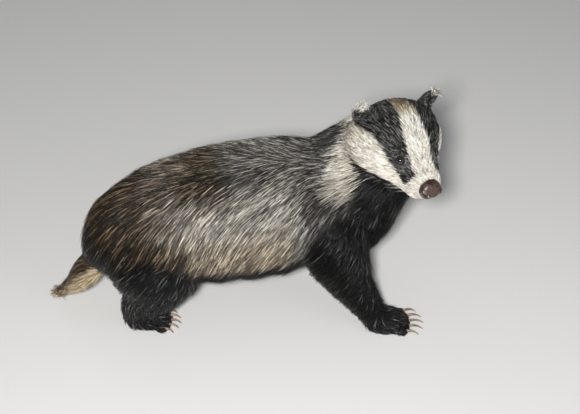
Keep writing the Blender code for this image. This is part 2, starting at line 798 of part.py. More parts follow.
def settle_origin(nodes):
    """Shift the finished animal so that its box is centred over the origin and stands at z = 0."""
    low = Vector((1e9, 1e9, 1e9))
    high = Vector((-1e9, -1e9, -1e9))
    for obj in nodes:
        for vert in obj.data.vertices:
            for axis in range(3):
                low[axis] = min(low[axis], vert.co[axis])
                high[axis] = max(high[axis], vert.co[axis])
    shift = Vector((-(low.x + high.x) / 2, -(low.y + high.y) / 2, 0))
    for obj in nodes:
        obj.data.transform(Matrix.Translation(shift))
    return shift


def main():
    """Build every node of the badger."""
    clear_scene()
    badger = new_collection("european_badger")
    cutters = new_collection("cutters")
    black = coat_material("coat_black", BLACK_COAT, 0.7)
    grey = coat_material("coat_grey", GREY_COAT, 0.75)
    white = coat_material("face_white", FACE_WHITE, 0.8)
    buff = coat_material("tail_buff", TAIL_BUFF, 0.8)
    bare = coat_material("nose_skin", NOSE_BROWN, 0.4)
    glossy = coat_material("eye", EYE_BLACK, 0.08)
    horn = coat_material("claw_horn", CLAW_HORN, 0.45)

    draw = random.Random(SEED)
    torso = spine_loft("torso", TRUNK, TRUNK_SIDES, TRUNK_RINGS, badger, COAT_DEPTH)
    neck = spine_loft("neck", NECK, NECK_SIDES, NECK_RINGS, badger, NECK_COAT)
    fit_against(neck, [torso], cutters)
    tail_rings = [(x, y, z, radius, radius, radius) for x, y, z, radius in TAIL]
    tail = spine_loft("tail", tail_rings, TAIL_SIDES, TAIL_RINGS, badger, TAIL_COAT)
    fit_against(tail, [torso], cutters)

    head = build_head(badger, cutters)
    eyes = [build_eye(side, badger) for side in (-1, 1)]
    fit_against(head, [neck, torso] + eyes, cutters)
    ears = [build_ear(side, badger, cutters) for side in (-1, 1)]
    for ear in ears:
        fit_against(ear, [head, neck], cutters)
    nose = build_nose(badger, cutters)
    fit_against(nose, [head], cutters)

    stations = {
        "fore_right": FORE_RIGHT,
        "fore_left": FORE_LEFT,
        "hind_right": HIND_RIGHT,
        "hind_left": HIND_LEFT,
    }
    legs = []
    paws = []
    claws = []
    for name in stations:
        leg = limb_loft("leg_" + name, stations[name], LEG_SIDES, LEG_RINGS, badger)
        paw = build_paw(name, badger, cutters)
        fit_against(leg, [torso, neck, paw], cutters)
        legs.append(leg)
        paws.append(paw)
        claws += build_claws(name, paw, badger, cutters)

    ground = surface_tree([torso, neck, tail] + legs)
    neck_sites = round_sites(NECK, NECK_COAT, NECK_ROWS, lambda root, normal: True, neck_lie, draw)
    grow_coat(neck, neck_sites, ground, [torso, head] + ears + legs, cutters)
    tail_sites = round_sites(tail_rings, TAIL_COAT, TAIL_ROWS,
                             lambda root, normal: root.z > TAIL_LOCK_HEIGHT, tail_lie, draw)
    grow_coat(tail, tail_sites, ground, [torso] + legs + paws, cutters)
    body_sites = round_sites(TRUNK, COAT_DEPTH, TRUNK_ROWS,
                             lambda root, normal: normal.z > BELLY_LOCK_LIMIT, body_lie, draw)
    grow_coat(torso, body_sites, ground, [neck, head, tail] + legs + paws, cutters)

    dress(torso, grey)
    dress(neck, grey)
    dress(tail, buff)
    dress(head, white)
    dress(nose, bare)
    for eye in eyes:
        dress(eye, glossy)
    for solid in ears + legs + paws:
        dress(solid, black)
    for claw in claws:
        dress(claw, horn)
    nodes = [torso, neck, tail, head, nose] + eyes + ears + legs + paws + claws
    settle_origin(nodes)
    bpy.data.collections.remove(cutters)


main()
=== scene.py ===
"""The finished look of a life-size european badger model: skin, coat, eyes, nose, lips and claws."""

import math

import bmesh
import bpy
import numpy as np
from mathutils import Matrix, Vector
from mathutils.bvhtree import BVHTree
from mathutils.kdtree import KDTree


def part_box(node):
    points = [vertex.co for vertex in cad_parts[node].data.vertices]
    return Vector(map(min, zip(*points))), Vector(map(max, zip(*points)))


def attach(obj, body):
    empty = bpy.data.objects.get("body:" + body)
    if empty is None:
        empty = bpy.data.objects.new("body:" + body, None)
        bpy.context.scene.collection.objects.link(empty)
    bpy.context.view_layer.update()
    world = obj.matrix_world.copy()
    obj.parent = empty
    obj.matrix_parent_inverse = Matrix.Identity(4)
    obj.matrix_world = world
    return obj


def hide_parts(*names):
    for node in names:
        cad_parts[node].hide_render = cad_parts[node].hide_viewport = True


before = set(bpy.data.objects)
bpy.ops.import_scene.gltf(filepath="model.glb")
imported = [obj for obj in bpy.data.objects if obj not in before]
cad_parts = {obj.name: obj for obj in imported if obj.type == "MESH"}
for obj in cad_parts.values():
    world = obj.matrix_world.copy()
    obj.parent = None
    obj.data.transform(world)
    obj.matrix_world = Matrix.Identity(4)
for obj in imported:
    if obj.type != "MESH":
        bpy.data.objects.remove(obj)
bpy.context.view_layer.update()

# The pose. The head hangs on the end of the neck, turned to the animal's right, dipped a little and
# rolled towards the viewer. Its place is read from the two eyes, which every other measure of the
# head is taken from; the body is measured from the floor under the middle of the back.
HEAD_TURN_DEG, HEAD_DIP_DEG, HEAD_ROLL_DEG = -75.0, 11.0, -8.0
EYE_FORWARD, EYE_APART, EYE_RISE = 0.0400, 0.0272, 0.0180
HEAD_FROM_BODY_ORIGIN = Vector((0.1830, -0.0440, 0.2680))


def node_centre(name):
    """The middle of a node's box."""
    low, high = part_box(name)
    return (low + high) / 2


head_turn = (Matrix.Rotation(math.radians(HEAD_TURN_DEG), 3, "Z")
             @ Matrix.Rotation(math.radians(HEAD_DIP_DEG), 3, "Y")
             @ Matrix.Rotation(math.radians(HEAD_ROLL_DEG), 3, "X"))
eye_middle = (node_centre("eye_left") + node_centre("eye_right")) / 2
head_centre = eye_middle - head_turn @ Vector((EYE_FORWARD, 0.0, EYE_RISE))
body_origin = np.array(head_centre - HEAD_FROM_BODY_ORIGIN) * (1, 1, 0)
head_axes = np.array(head_turn)
head_middle = np.array(head_centre)


def in_head(places):
    """Places as their distances forward, left and up from the head's centre."""
    return (places - head_middle) @ head_axes


def from_head(place):
    """A place measured in the head, back in the scene."""
    return head_middle + head_axes @ np.array(place)


# The camera stands over the animal's right flank, as a person with a camera at chest height does,
# and looks down at it across a short distance.
CAMERA_AZIMUTH_DEG, CAMERA_HEIGHT_DEG, CAMERA_DISTANCE = -11.0, 42.0, 1.90
CAMERA_AIM = (0.040, 0.000, 0.140)
SENSOR, LENS = 36.0, 82.55

azimuth, height = math.radians(CAMERA_AZIMUTH_DEG), math.radians(CAMERA_HEIGHT_DEG)
towards_camera = Vector((math.sin(azimuth) * math.cos(height),
                         -math.cos(azimuth) * math.cos(height),
                         math.sin(height)))
aim = Vector(body_origin) + Vector(CAMERA_AIM)
camera_data = bpy.data.cameras.new("camera")
camera_data.sensor_width, camera_data.lens = SENSOR, LENS
camera = bpy.data.objects.new("camera", camera_data)
camera.location = aim + towards_camera * CAMERA_DISTANCE
camera.rotation_euler = towards_camera.to_track_quat("Z", "Y").to_euler()
bpy.context.scene.collection.objects.link(camera)
bpy.context.scene.camera = camera

# The skin. One continuous hide over the trunk, neck, head, legs, paws and tail, without a seam. It is
# the union of the body's forms, smoothed where the coat is long, and it lies under the coat's tips
# by the depth of the hair there.
LIMBS = ("fore_right", "fore_left", "hind_right", "hind_left")
FLESH = ["torso", "neck", "head", "tail", "ear_left", "ear_right"]
FLESH += [part + "_" + limb for part in ("leg", "paw") for limb in LIMBS]
REGIONS = {"torso": 0, "neck": 1, "head": 2, "tail": 3, "leg_fore": 4, "leg_hind": 5, "paw": 6, "ear": 7}
TORSO, NECK, HEAD, TAIL, FORE, HIND, PAW, EAR = REGIONS.values()
OVERLAP = 0.0006
SKIN_GRID = 0.0020
SKIN_KEPT = 0.46
# Depth of the coat over the skin in each region, in the order above, and how much it is smoothed
COAT_DEPTH = np.array((0.0062, 0.0056, 0.0024, 0.0070, 0.0042, 0.0042, 0.0014, 0.0008))
SMOOTHING = np.array((1.0, 1.0, 0.25, 1.0, 0.5, 0.5, 0.15, 0.10))
TAIL_TOP_HAIR = 0.004
# Rounds that blur the regions' borders, and that smooth the whole skin and the nape
REGION_BLUR, SKIN_SMOOTHING, NAPE_SMOOTHING = 30, 40, 180


def deselect():
    """Leave nothing selected."""
    for obj in bpy.context.selected_objects:
        obj.select_set(False)


def make_active(obj):
    """Select one object alone."""
    deselect()
    obj.select_set(True)
    bpy.context.view_layer.objects.active = obj


def read(items, key, width, kind=np.float32):
    """One property of many parts of a mesh, a row for each."""
    values = np.empty(len(items) * width, kind)
    items.foreach_get(key, values)
    return values.reshape(-1, width)


def coordinates(mesh):
    """A mesh's points as an array."""
    return read(mesh.vertices, "co", 3).astype(float)


def normals_of(mesh):
    """A mesh's point normals as an array."""
    return read(mesh.vertex_normals, "vector", 3).astype(float)


def move_points(mesh, places):
    """Put a mesh's points at new places."""
    mesh.vertices.foreach_set("co", places.astype(np.float32).ravel())
    mesh.update()


def merged_copy(*names, grow=0.0):
    """The faces of some nodes with their corners joined, swollen a little along their normals."""
    work = bmesh.new()
    for name in names:
        work.from_mesh(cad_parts[name].data)
    bmesh.ops.remove_doubles(work, verts=work.verts, dist=0.000001)
    work.normal_update()
    moves = [vert.normal * grow for vert in work.verts]
    for vert, move in zip(work.verts, moves):
        vert.co += move
    return work


def region_of(name):
    """The number of the region that a node belongs to."""
    return next(number for start, number in REGIONS.items() if name.startswith(start))


skin_mesh = bpy.data.meshes.new("skin")
flesh_points, flesh_faces, flesh_region = [], [], []
for name in FLESH:
    work = merged_copy(name, grow=OVERLAP)
    start = len(flesh_points)
    flesh_points += [tuple(vert.co) for vert in work.verts]
    flesh_faces += [tuple(start + vert.index for vert in face.verts) for face in work.faces]
    flesh_region += [region_of(name)] * len(work.faces)
    work.free()
skin_mesh.from_pydata(flesh_points, [], flesh_faces)
skin = bpy.data.objects.new("skin", skin_mesh)
bpy.context.scene.collection.objects.link(skin)
flesh_tree = BVHTree.FromPolygons(flesh_points, flesh_faces)


def spread(values, rounds, pace=0.5):
    """Even out values over the skin, each point taking from its neighbours."""
    values = values.copy()
    for _ in range(rounds):
        gathered = [np.bincount(edge_ends, column, len(values)) for column in values[edge_starts].T]
        values += pace * (np.stack(gathered, 1) / neighbours - values)
    return values


def smooth_where(share, rounds):
    """Smooth the skin by a share of 0 to 1 at each of its points."""
    group = skin.vertex_groups.new(name="smooth_share")
    levels = np.round(np.clip(share, 0, 1), 2)
    for level in np.unique(levels):
        group.add(np.nonzero(levels == level)[0].tolist(), float(level), "REPLACE")
    smooth = skin.modifiers.new("smooth", "SMOOTH")
    smooth.factor, smooth.iterations, smooth.vertex_group = 0.5, rounds, group.name
    bpy.ops.object.modifier_apply(modifier=smooth.name)
    skin.vertex_groups.clear()


# Three rounds, each on a fresh even mesh: the first takes away the broad locks of the solids, and the
# others what is left of their tips
LOCK_ROUNDS = (220, 150, 120)
for rounds in LOCK_ROUNDS:
    make_active(skin)
    remesh = skin.modifiers.new("one_hide", "REMESH")
    remesh.mode, remesh.voxel_size = "VOXEL", SKIN_GRID
    bpy.ops.object.modifier_apply(modifier=remesh.name)
    points = coordinates(skin.data)
    region = np.array([flesh_region[flesh_tree.find_nearest(p)[2]] for p in points])
    edges = read(skin.data.edges, "vertices", 2, np.int32)
    edge_ends, edge_starts = edges.T.ravel(), edges[:, ::-1].T.ravel()
    neighbours = np.maximum(np.bincount(edge_ends, minlength=len(points)), 1)[:, None]
    weights = np.zeros((len(points), len(REGIONS)))
    weights[np.arange(len(points)), region] = 1.0
    weights = spread(weights, REGION_BLUR)
    long_haired = np.clip((weights[:, [TORSO, NECK, TAIL]].sum(1) - 0.5) / 0.4, 0, 1)
    smooth_where(long_haired, rounds)


def rise(value, low, high):
    """0 below one bound, 1 above the other, and a soft step between."""
    t = np.clip((value - low) / (high - low), 0, 1)
    return t * t * (3 - 2 * t)


# The back of the head flows into the neck under the coat, but the ears keep their shape
off_ear = 1 - rise(weights[:, EAR], 0.0, 0.15)
nape = rise(-in_head(points)[:, 0], 0.000, 0.028) * (weights[:, HEAD] + weights[:, NECK]) * off_ear
smooth_where(weights @ SMOOTHING, SKIN_SMOOTHING)
smooth_where(nape, NAPE_SMOOTHING)

points = coordinates(skin.data)
on_tail_top = rise(weights[:, TAIL], 0.3, 0.7) * rise(normals_of(skin.data)[:, 2], -0.1, 0.5)
depth = weights @ COAT_DEPTH + TAIL_TOP_HAIR * on_tail_top
points -= spread(normals_of(skin.data), 4) * depth[:, None]

# The eyes sit in hollows of the skin, deep enough to hold the balls
EYE_RADIUS, EYE_FACING = 0.0058, (0.36, 0.80, 0.46)
HOLLOW_RADIUS, HOLLOW_EDGE, HOLLOW_FLOOR, HOLLOW_BACK = 0.0076, 0.0026, 0.0005, -0.002


def eye_place(side):
    """The middle of an eye and the way it faces."""
    facing = np.array(EYE_FACING) * (1, side, 1)
    return from_head((EYE_FORWARD, side * EYE_APART, EYE_RISE)), head_axes @ (facing / np.linalg.norm(facing))


for side in (-1, 1):
    middle, facing = eye_place(side)
    ahead = (points - middle) @ facing
    aside = np.linalg.norm(points - middle - ahead[:, None] * facing, axis=1)
    share = rise(HOLLOW_RADIUS - aside, 0.0, HOLLOW_EDGE) * (ahead > HOLLOW_BACK)
    points -= facing * (np.clip(ahead - HOLLOW_FLOOR, 0, None) * share)[:, None]
move_points(skin.data, points)
normals = normals_of(skin.data)


def triangles(mesh):
    """The corners of a mesh's triangles, and a tree of them."""
    mesh.calc_loop_triangles()
    found = read(mesh.loop_triangles, "vertices", 3, np.int32)
    return found, BVHTree.FromPolygons([Vector(p) for p in coordinates(mesh)], found.tolist())


def tree_of(places):
    """A tree that finds the nearest of some places."""
    tree = KDTree(len(places))
    for number, place in enumerate(places):
        tree.insert(place, number)
    tree.balance()
    return tree


corners, skin_surface = triangles(skin.data)
skin_tree = tree_of(points)


def nearest(places, tree=skin_tree):
    """The number of the skin's point, or the tree's, that lies nearest each place."""
    return np.array([tree.find(place)[1] for place in places])


# The hide itself keeps its finest faces on the head, ears and paws, where the hair is short
FINE_REGIONS = (HEAD, PAW, EAR)
long_haired = skin.vertex_groups.new(name="long_haired")
long_haired.add(np.nonzero(~np.isin(region, FINE_REGIONS))[0].tolist(), 1.0, "REPLACE")
fewer = skin.modifiers.new("fewer", "DECIMATE")
fewer.ratio, fewer.vertex_group = SKIN_KEPT, long_haired.name
bpy.ops.object.modifier_apply(modifier=fewer.name)
skin.vertex_groups.clear()
skin.data.shade_smooth()


# The markings. A badger's face is white with a black stripe from the muzzle through each eye and ear;
# the legs, throat and belly are black, the flanks grizzled silver and buff, the rump brown and the
# tail cream. Skin and coat take the same colours, from the same bounds measured on the animal.
def tone(red, green, blue):
    """A colour as light, from its values on a 0 to 255 screen scale."""
    screen = np.array((red, green, blue)) / 255
    return np.where(screen <= 10 / 255, screen / 12.92, ((screen + 0.055) / 1.055) ** 2.4)


def along_table(value, table):
    """A value read from a table of places and amounts."""
    places, amounts = np.array(table, float).T
    return np.interp(value, places, amounts)


# Bounds on the head: distance forward of its centre, and the angle round it from the crown
MIDLINE_SHIFT = ((-0.050, 8.0), (-0.023, 6.5), (-0.006, 4.0), (0.010, 2.0), (0.025, -0.3), (0.040, -1.0),
                 (0.055, -4.0), (0.067, -7.0))
CENTRE_STRIPE = ((-0.050, 13.0), (-0.023, 15.5), (-0.006, 16.5), (0.010, 20.0), (0.025, 25.0), (0.040, 31.0),
                 (0.055, 39.5), (0.064, 48.0), (0.071, 62.0))
BLACK_STRIPE = ((-0.050, 80.0), (-0.031, 77.0), (-0.016, 69.5), (0.000, 64.0), (0.015, 63.0), (0.028, 70.0),
                (0.038, 76.0), (0.051, 84.0), (0.058, 92.0), (0.064, 96.0), (0.070, 84.0))
STRIPE_END = 0.0675
CHEEK_BAND = ((-0.050, 124.0), (-0.021, 114.0), (-0.006, 110.0), (0.008, 110.0), (0.017, 114.0),
              (0.033, 120.0), (0.050, 126.0), (0.066, 140.0), (0.074, 160.0), (0.080, 178.0))
# The pale band of each side of the neck: a capsule from behind the cheek to the shoulder
BAND_START, BAND_END = (0.114, -0.020, 0.262), (0.090, -0.060, 0.216)
BAND_HALF = 0.0195
NECK_MIDDLE, NECK_ACROSS = (0.143, -0.005, 0.215), (0.4324, 0.9017, 0.0)
# Each colour of hair: its dark and its pale tone, and the share of the hairs that are pale
COLOURS = {
    "white": (tone(206, 194, 172), tone(255, 250, 240), 0.92),
    "stained": (tone(180, 154, 112), tone(240, 224, 188), 0.70),
    # The pale hairs among the black, on the legs and paws above all, are painted glints: highlights of light
    # on the glossy black coat
    "black": (tone(0, 0, 0), tone(104, 101, 98), 0.05),
    "leg": (tone(0, 0, 0), tone(122, 121, 120), 0.13),
    "face_black": (tone(2, 2, 2), tone(150, 149, 144), 0.19),
    "face_grey": (tone(22, 22, 23), tone(168, 166, 164), 0.40),
    "silver": (tone(40, 37, 33), tone(238, 231, 218), 0.76),
    "grey": (tone(8, 8, 8), tone(190, 186, 176), 0.30),
    "brown": (tone(9, 7, 5), tone(142, 118, 90), 0.17),
    "buff": (tone(62, 50, 38), tone(230, 212, 182), 0.54),
    "tail": (tone(112, 84, 56), tone(240, 222, 186), 0.82),
}


def capsule(points, start, end):
    """Distance from the line between two points."""
    start, end = np.array(start), np.array(end)
    t = np.clip(((points - start) @ (end - start)) / ((end - start) @ (end - start)), 0, 1)
    return np.linalg.norm(points - start - t[:, None] * (end - start), axis=1)


# Each ear is a small round cup, open forwards and outwards
EAR_MIDDLE, EAR_HALF = (-0.0320, 0.0495, 0.0385), (0.0100, 0.0165, 0.0190)
EAR_LEAN_DEG, EAR_OPEN_DEG = 22.0, 28.0


def ear_turn(side):
    """An ear's own axes, measured in the head."""
    lean, opening = math.radians(-EAR_LEAN_DEG * side), math.radians(EAR_OPEN_DEG * side)
    return np.array(Matrix.Rotation(lean, 3, "X") @ Matrix.Rotation(opening, 3, "Z"))


def on_ear(head, side):
    """Head places from an ear's middle, along its depth, width and height, as shares of its halves."""
    return (head - np.array(EAR_MIDDLE) * (1, side, 1)) @ ear_turn(side) / np.array(EAR_HALF)


def on_rim(head):
    """How far towards the rim of the nearer ear a head place lies, 1 at its edge."""
    local = np.where(head[:, [1]] > 0, on_ear(head, 1), on_ear(head, -1))
    outer = local[:, 1] * np.sign(head[:, 1])
    return np.hypot(local[:, 1], local[:, 2]) - 0.5 * rise(0.45 - local[:, 2] - 0.5 * outer, 0.0, 0.3)


def markings(points, normals, weights):
    """The dark and pale colour of the hair at each point, and the share that is pale."""
    torso, neck, face, tail, fore, hind, paw, ear = weights.T
    body = points - body_origin
    x, _, z = body.T
    up = normals[:, 2]
    legs = np.clip(hind + fore, 0, 1)
    shoulder_edge = 0.040 + np.clip(z - 0.124, -0.02, 0.1) * 0.64

    # On the neck: the distance from the nearer pale band
    on_neck = rise(neck, 0.3, 0.6)
    middle, across = np.array(NECK_MIDDLE), np.array(NECK_ACROSS)
    mirrored = body - 2 * ((body - middle) @ across)[:, None] * across
    band = np.minimum(capsule(body, BAND_START, BAND_END), capsule(mirrored, BAND_START, BAND_END))
    near_band = rise(BAND_HALF + 0.003 - band, 0.0, 0.006) * rise(neck + face + torso, 0.3, 0.5)

    # On the head: how far forward, the angle from the midline, and where each stripe ends there
    on_head = rise(face, 0.35, 0.6)
    head = in_head(points)
    forward = head[:, 0]
    round_head = np.degrees(np.arctan2(head[:, 1], head[:, 2]))
    from_middle = np.abs(round_head - along_table(forward, MIDLINE_SHIFT))
    centre = along_table(forward, CENTRE_STRIPE)
    black = along_table(forward, BLACK_STRIPE)
    cheek = along_table(forward, CHEEK_BAND)
    in_centre = rise(centre - from_middle, -2, 2)
    stripe = (rise(from_middle - centre, -2.0, 2.0) * rise(black - from_middle, -2.5, 2.5)
              * rise(STRIPE_END - forward, 0, 0.003))
    eye_gap = np.minimum(*(np.linalg.norm(points - eye_place(side)[0], axis=1) for side in (-1, 1)))
    near_eye = rise(0.022 - eye_gap, 0.0, 0.010) * rise(forward, 0.034, 0.046)

    layers = (
        # The trunk: silver flanks, grey shoulders, brown rump, buff above a black belly
        ("silver", np.ones(len(points))),
        ("buff", rise(0.195 - z, 0.0, 0.045) * rise(0.040 - x, 0.0, 0.03) * 0.8),
        ("grey", rise(x, 0.000, 0.050)),
        # Along the top of the back the coat is laid darker, grey in front and brown behind: partly the coat's
        # own colour, partly painted shade on the ridge
        ("grey", rise(z, 0.206, 0.232) * rise(x, -0.130, -0.060)),
        ("brown", rise(z, 0.190, 0.224) * rise(-x, 0.030, 0.090) * 0.95),
        ("brown", rise(-x, 0.105, 0.190) * 0.95),
        ("brown", rise(-x, 0.085, 0.140) * rise(0.175 - z, 0.0, 0.03) * 0.6),
        ("black", rise(0.128 - z, 0.0, 0.016) * rise(x, -0.110, -0.060)),
        ("black", rise(-up, 0.35, 0.62)),
        ("black", rise(-x, 0.115, 0.155) * rise(0.155 - z, 0.0, 0.04)),
        ("black", legs ** 0.5 * rise(0.190 - z, 0.0, 0.04)),
        ("leg", legs * rise(0.150 - z, 0.0, 0.04)),
        ("black", rise(x - shoulder_edge, -0.012, 0.034) * rise(0.226 - z, 0.0, 0.02)),
        ("tail", rise(tail, 0.35, 0.65)),
        ("brown", rise(tail, 0.3, 0.6) * rise(up, 0.0, 0.5) * (0.5 + 0.4 * rise(-x, 0.230, 0.250))),
        # The neck: black below, grizzled above, with a pale band behind each cheek
        ("black", on_neck * rise(0.42 - up, 0.0, 0.35)),
        ("grey", on_neck * rise(up, 0.20, 0.5) * rise(0.150 - x, 0.0, 0.03)),
        ("black", on_neck * rise(x, 0.100, 0.120) * rise(0.262 - z, 0.0, 0.01)),
        ("white", near_band * (0.60 + 0.36 * rise(z, 0.212, 0.238))),
        # The head: white, two black stripes, a stained cheek, a brown crown and a black throat
        ("white", on_head),
        ("stained", on_head * rise(from_middle, 66, 84) * rise(0.004 - forward, 0.0, 0.03) * 0.35),
        ("stained", on_head * rise(-forward, 0.000, 0.024) * in_centre * 0.8),
        ("brown", on_head * rise(-forward, 0.008, 0.036) * in_centre * 0.70),
        ("face_black", on_head * stripe),
        ("face_grey", on_head * stripe * near_eye * 0.9),
        ("black", on_head * rise(from_middle - cheek, -3, 3)),
        ("leg", rise(paw, 0.3, 0.6)),
        # The ears: black with a white fringe
        ("face_black", rise(ear, 0.25, 0.5)),
        ("white", rise(ear, 0.30, 0.55) * rise(on_rim(head), 0.86, 0.96)),
    )
    dark, pale, share = np.zeros((len(points), 3)), np.zeros((len(points), 3)), np.zeros(len(points))
    for name, amount in layers:
        dark_tone, pale_tone, pale_share = COLOURS[name]
        share = share * (1 - amount) + pale_share * amount
        amount = amount[:, None]
        dark = dark * (1 - amount) + dark_tone * amount
        pale = pale * (1 - amount) + pale_tone * amount
    return dark, pale, share


# The lie of the coat: back along the trunk and down its sides, back over the head from the nose, down
# the legs, out over the toes and along the tail. It is evened out over the skin, so it never jumps.
NECK_LIE = (-0.098, 0.047, -0.083)
TAIL_LIE = (-0.80, 0.10, -0.52)
PAW_LIE = (1.0, 0.0, -0.35)


def unit(vectors):
    """Vectors of length one."""
    return vectors / np.maximum(np.linalg.norm(vectors, axis=-1, keepdims=True), 1e-9)


def flatten(vectors, normals):
    """Vectors laid in the skin's surface, of length one."""
    return unit(vectors - normals * (vectors * normals).sum(1, keepdims=True))


def laid(way):
    """One direction, laid in the skin's surface at each of its points."""
    return flatten(np.tile(way, (len(points), 1)), normals)


# On the trunk it slopes more steeply down the flanks and the rear, and lies flatter under the belly
body = points - body_origin
flank = 1 - np.abs(normals[:, 2])
slope = np.minimum(19 + 30 * flank ** 0.5 + 22 * rise(-body[:, 0], 0.02, 0.12), 62)
slope = slope + 12 * rise(body[:, 0], 0.06, 0.15)
slope = slope - 36 * rise(-body[:, 0], 0.10, 0.16) * rise(0.175 - body[:, 2], 0.0, 0.05)
slope = np.radians(slope)
slope = np.where(normals[:, 2] < -0.45, slope * 0.4, slope)[:, None]
trunk_lie = laid((-1.0, 0.0, 0.0)) * np.cos(slope) + laid((0.0, 0.0, -1.0)) * np.sin(slope)
head = in_head(points)
head_lie = np.tile((-1.0, 0.0, 0.0), (len(points), 1))
head_lie[:, 1] += np.sign(head[:, 1]) * 0.25
head_lie[:, 2] += -0.15 - 0.2 * rise(-head[:, 2], -0.02, 0.02)
head_lie = head_lie @ head_axes.T
leg_lie = np.tile((-0.25, 0.0, -1.0), (len(points), 1))
leg_lie[:, 0] -= 0.6 * rise(body[:, 2], 0.05, 0.12)
lie = (weights[:, [TORSO]] * trunk_lie
       + weights[:, [NECK]] * laid(NECK_LIE)
       + weights[:, [HEAD]] * flatten(head_lie, normals)
       + weights[:, [TAIL]] * laid(TAIL_LIE)
       + weights[:, [FORE, HIND]].sum(1, keepdims=True) * flatten(leg_lie, normals)
       + weights[:, [PAW]] * laid(PAW_LIE))

# Round the root of the tail the hair of the rump turns to run along it
near_tail = rise(spread(weights[:, [TAIL]], 300), 0.02, 0.20) * rise(normals[:, [2]], -0.4, 0.0)
near_tail = near_tail * (weights[:, [TORSO]] + weights[:, [TAIL]])
lie = lie * (1 - near_tail) + laid(TAIL_LIE) * near_tail
for _ in range(3):
    lie = flatten(spread(lie, 6), normals)


# The ears' hair runs from their roots out over the rims
def ear_lie(side):
    """Directions out from an ear's root, over both its faces."""
    out = on_ear(head, side) * (0, EAR_HALF[1], EAR_HALF[2])
    out[:, 2] += 0.010
    return out @ ear_turn(side).T @ head_axes.T


ear_out = np.where(head[:, [1]] > 0, ear_lie(1), ear_lie(-1))
own_ear = rise(weights[:, [EAR]], 0.15, 0.5)
lie = flatten(lie * (1 - own_ear) + flatten(ear_out, normals) * own_ear, normals)

# The hide's own finish: the hair's colour, darkened as painted shade under the coat, and duller than the hair
# above it
skin_dark, skin_pale, skin_share = markings(points, normals, weights)
# The factor darkens the hide under the hair: painted shade
UNDERCOAT_SHADE = 0.55
under = (skin_dark * (1 - skin_share[:, None]) + skin_pale * skin_share[:, None]) * UNDERCOAT_SHADE


def store_colour(mesh, colours):
    """Keep a colour for each point of a mesh."""
    layer = mesh.color_attributes.new("hair_colour", "FLOAT_COLOR", "POINT")
    values = np.ones((len(colours), 4), np.float32)
    values[:, :3] = np.clip(colours, 0, 1)
    layer.data.foreach_set("color", values.ravel())


def new_material(name):
    """A material with its plain shader."""
    material = bpy.data.materials.new(name)
    material.use_nodes = True
    return material


def feed(owner, node, inputs):
    """Set the inputs of one of the owner's nodes, each to a value or to another node's output."""
    for key, value in inputs.items():
        if isinstance(value, bpy.types.NodeSocket):
            owner.node_tree.links.new(value, node.inputs[key])
        else:
            node.inputs[key].default_value = value


def add_node(material, kind, inputs, **settings):
    """A new node in a material, with its settings and inputs."""
    node = material.node_tree.nodes.new("ShaderNode" + kind)
    for key, value in settings.items():
        setattr(node, key, value)
    feed(material, node, inputs)
    return node


def own_place(material):
    """A place on the object, for a texture to read."""
    return add_node(material, "TexCoord", {}).outputs["Object"]


def shade(material, inputs):
    """Set the inputs of a material's own shader."""
    feed(material, material.node_tree.nodes["Principled BSDF"], inputs)


def hair_material(name, roughness, speckle, bump):
    """Hair or undercoat: the stored colour, broken by fine flecks, with a fibrous bump."""
    material = new_material(name)
    colour = add_node(material, "Attribute", {}, attribute_name="hair_colour").outputs["Color"]
    noise = {"Scale": 900.0, "Detail": 2.0, "Vector": own_place(material)}
    flecks = add_node(material, "TexNoise", noise).outputs["Fac"]
    span = {"From Min": 0.3, "From Max": 0.7, "To Min": 1 - speckle, "To Max": 1 + speckle}
    level = add_node(material, "MapRange", {**span, "Value": flecks}).outputs["Result"]
    tint = add_node(material, "VectorMath", {0: colour, "Scale": level}, operation="SCALE")
    relief = add_node(material, "Bump", {"Strength": bump, "Distance": 0.0006, "Height": flecks})
    shade(material, {"Base Color": tint.outputs["Vector"], "Normal": relief.outputs["Normal"],
                     "Roughness": roughness, "Specular IOR Level": 0.3})
    return material


store_colour(skin.data, under[nearest(coordinates(skin.data))])
hide = hair_material("undercoat", 0.85, 0.25, 0.6)
skin.data.materials.append(hide)
make_active(skin)
bpy.ops.object.mode_set(mode="EDIT")
bpy.ops.mesh.select_all(action="SELECT")
bpy.ops.uv.smart_project(angle_limit=math.radians(70), island_margin=0.002)
bpy.ops.object.mode_set(mode="OBJECT")
skin.data.uv_layers[0].name = "OFBake"
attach(skin, "root")
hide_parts(*FLESH)

# The eyes. Small dark wet balls, each with a brown iris round a wide pupil, set behind their lids in
# hollows of the skin.
IRIS_DEG, PUPIL_DEG = 44.0, 26.0
# The tones from the middle of the pupil to the back of the ball, and the angle where each starts
PUPIL_TONE, BACK_TONE = (0.002, 0.002, 0.002, 1), (0.02, 0.016, 0.014, 1)
RING_TONES = ((PUPIL_DEG + 1.8, (0.014, 0.008, 0.005, 1)), (IRIS_DEG - 2.7, (0.008, 0.005, 0.004, 1)),
              (IRIS_DEG + 1.8, (0.006, 0.005, 0.005, 1)))


def finish_shape(obj, name):
    """Bake an object's place into its mesh and name it."""
    obj.name = name
    make_active(obj)
    bpy.ops.object.transform_apply(location=True, rotation=True, scale=True)
    bpy.ops.object.shade_smooth()
    return obj


